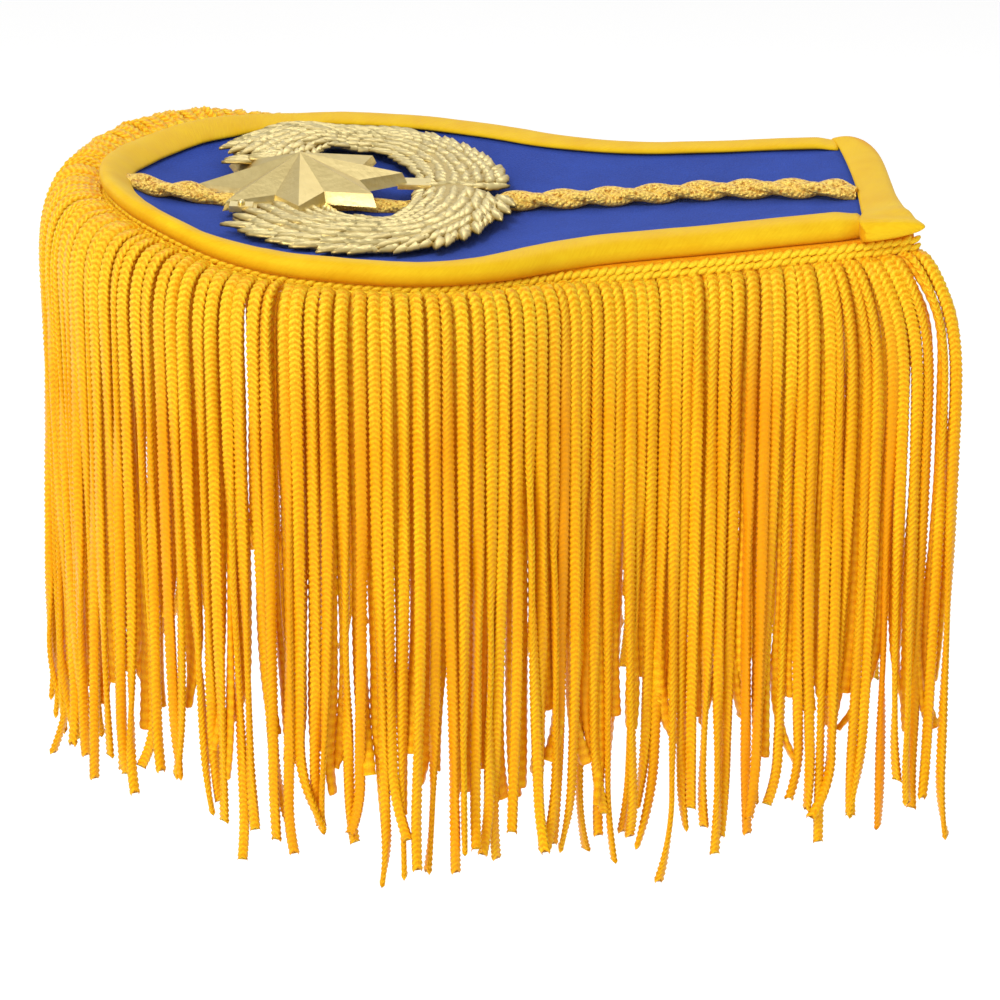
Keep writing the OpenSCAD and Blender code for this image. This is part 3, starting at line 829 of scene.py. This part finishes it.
def wreath_point(angle, share):
    """A point of the band at an angle from the neck side, share of the band's width from inside."""
    wider = 1 + FRONT_WIDER * eased(-angle, math.radians(48), math.radians(88))
    inside = BAND_W * (1 - share) * wider
    length = np.where(np.cos(angle) > 0, WREATH_A, WREATH_OPEN)
    return np.stack([(length - inside) * np.cos(angle), (WREATH_B - inside) * np.sin(angle)], -1)


def over_star(angle):
    """How far the rear branch is raised, where it lies over the star's rear rays."""
    return OVER_STAR * eased(angle, math.radians(92), math.radians(124))


rows = []
for angle in np.linspace(MOUTH - math.pi, math.pi - MOUTH + REAR_LONGER, 130):
    outer_share = np.interp(abs(angle), (0, math.radians(11)), (0.74, 0.94))
    share = np.linspace(FIRST_SHARE, outer_share, 12)
    arch = np.sin(math.pi * (share - FIRST_SHARE) / (outer_share - FIRST_SHARE))
    crown = CROWN * np.maximum(arch, 0) ** 0.7 + over_star(angle)
    top = np.column_stack([wreath_point(angle, share), SHEET_T + crown])
    under = np.column_stack([wreath_point(angle, share), np.maximum(crown - SHEET_T, 0)])[::-1]
    rows.append(np.concatenate([top, under]))
# a low number, since the band shows only between the leaves: painted shade there
band = closed_loft("band", rows, BRASS, relief=0.25)
print("band of", len(band.data.polygons), "faces")

# %% Make one leaf
LEAF_L = 6.6 * MM
LEAF_W = 3.0 * MM
LEAF_H = 0.80 * MM
VEINS = 7

# pointed, along +X, with a raised midrib, slanted veins and a notched rim
along, side = np.meshgrid(np.linspace(0, 1, 8), np.linspace(-1, 1, 5), indexing="ij")
width = np.sin(math.pi * along ** 0.8) ** 0.75 * (1 - 0.3 * along) + 0.02
notch = 1 + 0.12 * np.cos(along * VEINS * math.pi) * np.abs(side) ** 4
rib = np.exp(-(side / 0.25) ** 2)
vein = 0.18 * np.cos(along * VEINS * math.pi) * (1 - rib) * (1 - side ** 2)
rise = 0.25 + 0.85 * np.sin(math.pi * along ** 0.7) ** 0.6
height = LEAF_H * rise * (0.45 * (1 - side ** 2) + 0.45 * rib + vein + 0.15)
top = np.stack([along * LEAF_L, side * width * notch * LEAF_W / 2, height], -1)
rim = top[:, [-1, 0]].copy()
rim[..., 2] = -0.3 * MM
rows = np.concatenate([top, rim], axis=1)[:, ::-1]
# the number is the height over the leaf's rim, so its lower parts are painted darker: painted shade
leaf = closed_loft("leaf", rows, BRASS, relief=np.clip(rows[..., 2] / LEAF_H, 0, 1).ravel())
print("a leaf has", len(leaf.data.polygons), "faces")

# %% [markdown]
# ## Laying small things along a line
# Leaves on a wreath and stitches on a heading follow one rule, so one tree does both. It spaces
# points along a line, by their number or by the distance between them. On each it sets the small
# thing, turns it along the line with a lean, rolls it, lifts it, and makes it a little larger or
# smaller, all by one random number for each point. Without that number the rows would look like
# a machine's thread.

# %% A tree that lays things along a line
LEAVES = {"Count": 12, "Lean": 0.0, "Roll": 2.0, "Jitter": 0.17, "Size": 1.0, "Grow": 0.8,
          "Lift": 0.0, "Seed": 1}
STITCHES = {"Length": 1.75 * MM, "Lean": 0.45, "Roll": 0.0, "Jitter": 0.12, "Size": 0.84,
            "Grow": 0.5 / 0.84, "Lift": 0.0, "Seed": 1}


def laying_tree(name, inputs, thing, up=None):
    flow, given = new_tree(name, inputs)
    spacing = "Count" if "Count" in inputs else "Length"
    spots = flow.geo("CurveToPoints", {"Curve": given["Geometry"], spacing: given[spacing]},
                     {"mode": spacing.upper()})
    ahead = flow.make("FunctionNodeAxesToRotation", {
        "Primary Axis": spots.out("Tangent"), "Secondary Axis": up or spots.out("Normal")},
        {"primary_axis": "X", "secondary_axis": "Z"})
    jitter = flow.make("FunctionNodeRandomValue", {
        "Seed": given["Seed"], 2: given["Jitter"] * -1.0, 3: given["Jitter"]}, output=1)
    turn = flow.make("FunctionNodeEulerToRotation", {
        "Euler": flow.xyz(X=jitter * given["Roll"], Z=given["Lean"] + jitter)})
    turned = flow.make("FunctionNodeRotateRotation", {"Rotation": ahead, "Rotate By": turn},
                       {"rotation_space": "LOCAL"})
    raised = flow.geo("SetPosition", {"Geometry": spots, "Offset": flow.xyz(Z=given["Lift"])})
    laid = flow.geo("InstanceOnPoints", {
        "Points": raised, "Instance": flow.geo("ObjectInfo", {"Object": thing}, output="Geometry"),
        "Rotation": turned, "Scale": given["Size"] * (jitter * given["Grow"] + 1.0)})
    return end_tree(laid, given["Material"])


print("one tree for", len(LEAVES), "named inputs")

# %% Lay the leaves
LEAF_ROWS = (
    # share of the band's width, lean in degrees, size, lift in mm, first and last angle, leaves
    (0.04, 26, 0.80, 0.30, 3, 141, 21), (0.16, 18, 0.90, 0.60, 2, 143, 23),
    (0.28, 11, 0.95, 0.80, 2, 144, 25), (0.40, 5, 1.0, 0.95, 2, 145, 27), (0.53, 0, 1.0, 1.0, 3, 145, 28),
    (0.66, -8, 1.0, 0.85, 4, 145, 29), (0.79, -16, 1.0, 0.60, 5, 144, 30),
    (0.90, -27, 1.0, 0.25, 6, 141, 31))
FRONT_SHORTER = math.radians(9)
EXTRA_LINES = (
    # first and last point in mm, leaves, lean in radians, size, lift in mm
    ((11.0, 0.0), (22.0, 0.0), 6, 0.2, 0.9, 1.0), ((-18.5, 25.0), (-22.0, 9.0), 9, -1.35, 0.95, 2.3),
    ((-15.0, 23.0), (-17.5, 9.5), 8, -1.35, 0.95, 2.9))
tree = laying_tree("leaves", LEAVES, leaf, up=(0, 0, 1))
metal = [band]
for side, longer in ((-1, -FRONT_SHORTER), (1, REAR_LONGER)):
    for k, (share, lean, size, lift, first, last, count) in enumerate(LEAF_ROWS):
        turn = side * np.linspace(math.radians(first), math.radians(last) + longer, 60)
        path = np.column_stack([wreath_point(turn, share), 0.25 * MM + over_star(turn)])
        metal.append(grow("leaves", [path], tree, BRASS, {
            "Count": count, "Lean": side * math.radians(lean), "Size": size, "Lift": lift * MM,
            "Seed": 10 * k + side}))
for k, (first, last, count, lean, size, lift) in enumerate(EXTRA_LINES):
    path = np.column_stack([np.linspace(first, last, 20), np.full(20, lift)]) * MM
    metal.append(grow("leaves", [path], tree, BRASS, {"Count": count, "Lean": lean, "Size": size,
                                                      "Seed": 90 + k}))
bpy.data.objects.remove(leaf)
print(len(metal) - 1, "rows of leaves")

# %% [markdown]
# ## The star
# The star has eight points, pressed from sheet: every ray is folded along its middle, so it shows
# two flat faces, and its rim stands upright and is bevelled. A cone would give the folds but no
# rim, so its points are worked out round a circle: a foot, a rim and one peak. It lies on the open
# end of the wreath. Small tabs join it to the wreath's front end and to its neck side, and a round
# dot sits on the first of them.

# %% Fold the star
STAR = Vector((-12.6 * MM, -0.6 * MM, 0.35 * MM))
STAR_TURN = math.radians(2)
STAR_TILT = math.radians(-2.4)
RAYS = 8
RAY_R, NOTCH_R = 20.75 * MM, 13 * MM
STAR_ACROSS = 1.08
RIM_H = 2.1 * MM
BEVEL = 0.95
THICK_AT = math.radians(40)
PEAK_H = 6.9 * MM


def flat_sided(name, points, faces, relief):
    """A mesh of flat faces in brass."""
    mesh = bpy.data.meshes.new(name)
    mesh.from_pydata([tuple(p) for p in points], [], faces)
    mesh.materials.append(BRASS)
    store(mesh, relief=relief)
    return add_object(name, mesh)


count = 2 * RAYS
turn = math.tau * np.arange(count) / count + STAR_TURN
radius = np.where(np.arange(count) % 2 == 0, RAY_R, NOTCH_R)
foot = np.column_stack([radius * np.cos(turn), radius * np.sin(turn) * STAR_ACROSS, np.zeros(count)])
rim = foot * (BEVEL, BEVEL, 0)
rim[:, 2] = RIM_H * (0.8 + 0.4 * np.cos(turn + THICK_AT))
points = np.concatenate([foot, rim, [(0, 0, PEAK_H), (0, 0, 0)]])
points = points @ np.array(Matrix.Rotation(-STAR_TILT, 3, "Y")) + np.array(STAR)
faces = []
for k in range(count):
    n = (k + 1) % count
    faces += [(k, n, count + n, count + k), (count + k, count + n, 2 * count), (n, k, 2 * count + 1)]
# the upright rim gets high numbers towards its foot and the hidden underside nought: painted light on the
# rim, painted shade underneath
star = flat_sided("star", points, faces, [1.0] * count + [0.5] * count + [0.45, 0.0])
print("a star of", len(star.data.polygons), "faces")

# %% Add the tabs and the dot
TABS = (
    # middle and size, in mm: two between a ray and the wreath's front end, and one at its neck side
    ((-23.0, -19.0, 1.3), (4.4, 3.4, 1.2)), ((-20.5, -16.8, 0.6), (6.0, 7.0, 0.7)),
    ((9.4, 1.2, 1.0), (6.5, 5.0, 1.0)))
DOT_R = 0.7 * MM
DOT_SIDES = 12


# each tab is given a low number below and a high one on top: painted shade below, painted light on top
def tab(middle, size):
    corners = np.array([(x, y, z) for z in (-1, 1) for y in (-1, 1) for x in (-1, 1)])
    points = (np.array(middle) + corners * size / 2) * MM
    faces = [(0, 2, 3, 1), (4, 5, 7, 6), (0, 1, 5, 4), (2, 6, 7, 3), (0, 4, 6, 2), (1, 3, 7, 5)]
    return flat_sided("tab", points, faces, [0.2] * 4 + [0.8] * 4)


def joined(name, parts, place=None):
    """Several meshes as one piece, moved into place."""
    with bpy.context.temp_override(active_object=parts[0], selected_editable_objects=parts):
        bpy.ops.object.join()
    whole = parts[0]
    whole.name = name
    whole.data.name = name
    if place:
        whole.data.transform(place)
    return whole


x, y, z = np.array(TABS[0][0]) * MM
turn = math.tau * np.arange(DOT_SIDES) / DOT_SIDES
rows = [np.column_stack([x + DOT_R * radius * np.cos(turn), y + DOT_R * radius * np.sin(turn),
                         np.full(DOT_SIDES, z + height * MM)])
        for radius, height in ((0.35, 1.5), (0.8, 1.35), (1.0, 1.0), (1.0, 0.4))]
dot = closed_loft("dot", rows, BRASS, relief=0.9)
for name, parts in (("brass_wreath", metal),
                    ("brass_star", [star, dot, *(tab(*size) for size in TABS)])):
    hand_over(joined(name, parts, badge_frame), "badge")

# %% [markdown]
# ## Where the cords hang
# Every cord leaves the heading, bulges outwards over the edge and then hangs straight. The bulge
# and how high it rises depend on the place: they are greatest at the rear of the shoulder's point,
# where the cords are packed tightest, and smallest along the strap, where the last cords lean out
# past the neck end. On top of that, cords gather in loose groups, wander a little, push each other
# apart where they would touch, and curl at their ends. An inner row fills the gaps of the outer
# one. A simulation could drop the cords into place, but these few rules are quicker and easier to
# steer. All of it grows from fixed seeds, so the result is the same in every run.

# %% How one cord hangs
STEP = 2.5 * MM
LEVELS = 58
STRAP_FROM, STRAP_FULLY = 108 * MM, 142 * MM
CREST_AT = -38 * MM


def beside(s, out, up):
    """Points at a distance out from the edge at s, and up over the underside's height at the edge."""
    x, y, out_x, out_y = edge(s)
    return np.stack([x + out * out_x, y + out * out_y, dish(x, y) + up], -1)


def hang(s, inner):
    """The bulging route of a cord at s: how far out, and how high over the underside, per level."""
    drop = float(eased(abs(s), STRAP_FROM, STRAP_FULLY))
    crest = math.exp(-((s - CREST_AT) / (26 * MM)) ** 2)
    bulge = (11 - 5.5 * float(eased(abs(s), 0, ARC_L)) + 5 * crest) * MM * (0.62 if inner else 1)
    lift = (-1 + 7.0 * math.exp(-((s - CREST_AT) / (35 * MM)) ** 2)) * MM * (1 - drop) - 3.8 * MM * drop
    lift -= 2.0 * MM if inner else 0
    knots = np.array([(0.6 * MM, -(2.0 + 1.9 * drop) * MM), (0.45 * bulge, lift), (bulge, 0.9 * lift),
                      (bulge, -1.3 * bulge - (3 + 3 * drop) * MM)])
    t = np.linspace(0, 1, 25)[:, None]
    bend = ((1 - t) ** 3 * knots[0] + 3 * t * (1 - t) ** 2 * knots[1]
            + 3 * t ** 2 * (1 - t) * knots[2] + t ** 3 * knots[3])
    bend = np.concatenate([bend, [(bulge, knots[3, 1] - LEVELS * STEP)]])
    levels = np.arange(LEVELS) * STEP
    return [np.interp(levels, walked(bend), bend[:, k]) for k in (0, 1)]


print("a cord's route has", LEVELS, "levels,", round(STEP / MM, 1), "mm apart")

# %% Let the cords lean, gather and stray
CORD_PITCH = 2.45 * MM
FRINGE_FROM = -HALF_L + 7.0 * MM
FRINGE_TO = HALF_L - 1.0 * MM
FRONT_LEAN = 8.0 * MM
REAR_LEAN = 11.5 * MM
LEAN_L = 30 * MM
OUTER_CORDS = int((FRINGE_TO + FRONT_LEAN - FRINGE_FROM + REAR_LEAN) / CORD_PITCH) + 1
INNER_CORDS = OUTER_CORDS - 1


def gather(s, rng, pull):
    """How far each cord is drawn to the middle of its group of three to seven."""
    shift = np.zeros(len(s))
    first = 0
    while first < len(s):
        last = min(first + rng.integers(3, 8), len(s))
        shift[first:last] = (s[first:last].mean() - s[first:last]) * pull * rng.uniform(0.4, 1.3)
        first = last
    return shift


def route(count, seed, inner=False):
    """Where each cord starts, its plain route, and how far it strays from that, level by level."""
    rng = np.random.default_rng(seed)
    s = np.linspace(FRINGE_FROM - REAR_LEAN, FRINGE_TO + FRONT_LEAN, count)
    front = FRONT_LEAN * eased(s, FRINGE_TO - LEAN_L, FRINGE_TO + FRONT_LEAN)
    rear = REAR_LEAN * eased(-s, -FRINGE_FROM - LEAN_L, -FRINGE_FROM + REAR_LEAN)
    s = s - front + rear
    s[1:-1] += rng.uniform(-0.2, 0.2, count - 2) * CORD_PITCH
    depth = np.arange(LEVELS) / (LEVELS - 1)
    out_x, out_y = edge(s[:, None])[2:]
    hung = np.array([hang(place, inner) for place in s])
    plain = beside(s[:, None], hung[:, 0], hung[:, 1])
    lower = eased(depth, 0.12, 1.0)
    along = gather(s, rng, 0.36)[:, None] * eased(depth, 0.4, 1.0)
    along = along + rng.normal(0, 1.3 * MM, count)[:, None] * eased(depth, 0.3, 1.0)
    outward = rng.normal(0, 1.6 * MM, count)[:, None] * lower
    waves = [np.array([ripple(depth * 3.2, 9000 * seed + 2 * i + k, 1.0) for i in range(count)])
             for k in (0, 1)]
    along = along + waves[0] * 0.9 * MM * eased(depth, 0.25, 0.9)
    outward = outward + waves[1] * 1.1 * MM * lower
    lean = front[:, None] * eased(depth, 0.0, 0.08) + rear[:, None] * eased(depth, 0.04, 0.35)
    stray = np.stack([outward * out_x - along * out_y + lean, outward * out_y + along * out_x,
                      np.zeros((count, LEVELS))], -1)
    return s, plain, stray


print(OUTER_CORDS, "outer cords and", INNER_CORDS, "inner ones")

# %% Push the cords apart
CLEAR = 1.8 * MM


def push_apart(plain, stray, rounds, reach=6):
    """Cords that are too close move apart, a little at a time. Their roots stay."""
    free = eased(np.arange(LEVELS), 1, 7)[:, None]
    for _ in range(rounds):
        for j in range(1, reach + 1):
            away = (plain + stray)[j:] - (plain + stray)[:-j]
            away[..., 2] = 0
            gap = np.maximum(np.linalg.norm(away, axis=2, keepdims=True), 0.05 * MM)
            step = away / gap * np.clip(CLEAR - gap, 0, None) * 0.35 * free
            stray[j:] += step
            stray[:-j] -= step
        stray[:, 1:-1] = 0.5 * stray[:, 1:-1] + 0.25 * (stray[:, 2:] + stray[:, :-2])
    return plain + stray


print("cords nearer than", round(CLEAR / MM, 1), "mm are pushed apart")

# %% Cut and curl the cords
AT, ENDS = 0, 1
ENDS_AT = np.array([
    # distance s along the edge, depth of the cords' ends below the edge, both in mm
    (-190, 115), (-60, 117), (0, 118), (14, 114), (30, 109), (60, 108), (85, 113), (115, 116),
    (150, 118), (190, 117)]) * MM
INNER_ENDS = 97 * MM
SHORT_CHANCE = 0.07


def cut_and_curl(s, places, seed, ends, spread):
    """Cuts every cord at its depth, a few of them shorter, and bends its end."""
    rng = np.random.default_rng(seed)
    cords = []
    for place, points, end in zip(s, places, ends):
        end = end + rng.normal(0, spread) - (rng.uniform(6, 16) * MM if rng.random() < SHORT_CHANCE else 0)
        floor_z = dish(*edge(place)[:2]) - end
        keep = int(np.argmax(points[:, 2] < floor_z))
        tail = int(rng.integers(4, 8))
        way = math.tau * rng.random()
        bent = (abs(rng.normal(0, 0.24)) + 0.03) / tail
        path = list(points[:keep - tail])
        for _ in range(tail):
            ahead = (path[-1] - path[-2]) / STEP
            ahead += np.array([math.cos(way), math.sin(way), 0]) * bent
            path.append(path[-1] + ahead / np.linalg.norm(ahead) * STEP)
        cords.append(np.array(path))
    return cords


s, plain, stray = route(OUTER_CORDS, 1)
ends = np.interp(s, ENDS_AT[:, AT], ENDS_AT[:, ENDS])
outer_cords = cut_and_curl(s, push_apart(plain, stray, 30), 2, ends, 3.2 * MM)
s, plain, stray = route(INNER_CORDS, 3, inner=True)
ends = np.full(INNER_CORDS, INNER_ENDS)
inner_cords = cut_and_curl(s, push_apart(plain, stray, 10), 4, ends, 5 * MM)
for row, cords in (("outer", outer_cords), ("inner", inner_cords)):
    lengths = [walked(cord)[-1] / MM for cord in cords]
    print(row, "cords are", round(min(lengths)), "to", round(max(lengths)), "mm long")

# %% [markdown]
# ## Knitting a cord
# A twisted rope could be swept as one helix, but a knitted cord is a tube with columns of stitches.
# The tree makes every cord of a piece at once. It sweeps an oval along the routes, one ring for
# each half stitch. Then it moves points of the plain tube: every other column slides along the
# cord, which turns straight rings into zigzags, and every other ring is pinched towards the middle,
# which leaves a row of V-shaped stitches. Seams between the columns lie a little deeper, and a cord
# grows slightly thinner towards its end. The stitches and one random shade for each cord are stored
# for the finish. The inner row is seldom seen, so its cords have fewer points.

# %% A tree that knits
KNIT = {"Half stitch": 0.56 * MM, "Half width": 1.60 * MM, "Half depth": 0.86 * MM, "Columns": 8,
        "Pinch": 0.22, "Slide": 0.56 * MM, "Seam": 0.16, "Taper": 0.0009, "Seed": 5}

flow, given = new_tree("knit", KNIT)
line = flow.geo("ResampleCurve", {"Curve": given["Geometry"], "Length": given["Half stitch"]},
                {"mode": "LENGTH"})
number = flow.geo("InputIndex")
each = flow.geo("CaptureAttribute", {"Geometry": line, "cord": number},
                {"domain": "CURVE", "capture": [("INT", "cord")]})
held = flow.geo("CaptureAttribute", {
    "Geometry": each, "middle": flow.geo("InputPosition"), "ahead": flow.geo("InputTangent"),
    "ring": flow.geo("CurveOfPoint", output="Index in Curve")},
    {"domain": "POINT", "capture": [("VECTOR", "middle"), ("VECTOR", "ahead"), ("INT", "ring")]})
column = flow.geo("CaptureAttribute", {
    "Geometry": oval(flow, given["Columns"], given["Half width"], given["Half depth"]),
    "column": number}, {"domain": "POINT", "capture": [("INT", "column")]})
tube = flow.geo("CurveToMesh", {"Curve": held, "Profile Curve": column, "Fill Caps": True})
fold = flow.math("ABSOLUTE", column.out("column") % 4.0 - 2.0) - 1.0
seam = flow.math("ABSOLUTE", fold)
pinched = held.out("ring") % 2.0
to_middle = flow.shade("VectorMath", {0: held.out("middle"), 1: flow.geo("InputPosition")},
                       {"operation": "SUBTRACT"})
inward = to_middle.scaled(
    pinched * given["Pinch"] + seam * given["Seam"] + held.out("ring") * given["Taper"])
slide = held.out("ahead").scaled(fold * given["Slide"])
offset = flow.shade("VectorMath", {0: inward, 1: slide}, {"operation": "ADD"})
marked = flow.geo("SetPosition", {"Geometry": tube, "Offset": offset})
chance = flow.make("FunctionNodeRandomValue", {"ID": each.out("cord"), "Seed": given["Seed"]}, output=1)
# the stitch number is lowest on pinched rings and on seams, where the finish paints shade
for label, value in (("stitch", 1.0 - pinched * 0.75 - seam * 0.25), ("shade", chance)):
    marked = flow.geo("StoreNamedAttribute", {"Geometry": marked, "Name": label, "Value": value},
                      {"data_type": "FLOAT", "domain": "POINT"})
knitting = end_tree(marked, given["Material"])
print("the knitting has", len(flow.tree.nodes), "nodes")

# %% Knit the fringe
PIECES = 4
INNER_KNIT = {"Half stitch": 1.0 * MM, "Half width": 1.6 * MM, "Half depth": 0.8 * MM, "Columns": 6,
              "Slide": 0.0, "Seam": 0.0, "Pinch": 0.12, "Seed": 9}
batches = [(f"fringe_cords_{k + 1}", [outer_cords[i] for i in part], {"Seed": k})
           for k, part in enumerate(np.array_split(np.arange(OUTER_CORDS), PIECES))]
for name, paths, inputs in (*batches, ("fringe_cords_inner", inner_cords, INNER_KNIT)):
    # a slow random twist along each cord, stronger towards its end
    levels = [np.arange(len(path)) for path in paths]
    twists = [(0.8 + 1.6 * n / LEVELS) * ripple(n, 77 + k, 11.0) for k, n in enumerate(levels)]
    hand_over(grow(name, paths, knitting, CORD, inputs, tilt=twists), "fringe")

# %% [markdown]
# ## The heading
# The cords are held by a crocheted band, which shows as two rows of slanted stitches under the
# binding. Looping a real crochet stitch would hide most of its thread inside the band. So one
# stitch is a short bent sausage. The same tree as for the leaves sets it along two lines, one above
# the other, and a plain band behind them closes the gaps.

# %% Crochet the heading
HEADING_ROWS = (
    # out from the edge, height over the underside, both in mm, seed
    (0.6, -1.6, 3), (1.0, -2.9, 4))
BACKING = ((-1.6, -0.6), (0.2, -0.6), (0.8, -2.2), (0.8, -3.8), (-0.6, -4.6), (-1.6, -3.6))
STITCH_R = 0.80 * MM
STITCH_L = 1.7 * MM
STITCH_BEND = 0.35 * MM
STITCH_SIDES = 6
TUCK_IN = 2.2 * MM

# one stitch: a short thick thread along +X, thinner at its ends
turn = math.tau * np.arange(STITCH_SIDES) / STITCH_SIDES
rows = []
for t in np.linspace(-1, 1, 8):
    thick = STITCH_R * math.sqrt(max(1 - 0.86 * t * t, 0.05))
    rows.append(np.column_stack([np.full(STITCH_SIDES, t * STITCH_L), np.cos(turn) * thick,
                                 np.sin(turn) * thick + STITCH_BEND * (1 - t * t)]))
# painted light and shade: each stitch is lighter on top and darker underneath
lit_stitch_top = np.tile(np.clip(0.45 + 0.5 * np.sin(turn), 0, 1), len(rows))
stitch = closed_loft("stitch", rows, CORD, stitch=lit_stitch_top, shade=0.2)
tree = laying_tree("crochet", STITCHES, stitch)
stations = np.linspace(FRINGE_FROM - 1 * MM, FRINGE_TO, 400)
tucked = (1 - eased(np.abs(stations), STRAP_FROM, STRAP_FULLY)) * TUCK_IN
rows = np.array([beside(stations, out * MM - tucked, height * MM) for out, height in BACKING])
# the backing gets a low stitch number and shade, so it takes the grooves' deep colour: painted shade behind
# the stitches
heading = [closed_loft("backing", np.swapaxes(rows, 0, 1)[:, ::-1], CORD, stitch=0.1, shade=0.0)]
for out, height, seed in HEADING_ROWS:
    line = beside(stations, out * MM - tucked, height * MM)
    heading.append(grow("row", [line], tree, CORD, {"Seed": seed}))
bpy.data.objects.remove(stitch)
hand_over(joined("fringe_heading", heading), "fringe")

# %% [markdown]
# ## The pin
# The pin bar keeps the shape of its solid and only gets its finish, because it lies hidden under
# the board.

pin = bpy.data.objects["pin_back"]
pin.data.materials.clear()
pin.data.materials.append(STEEL)
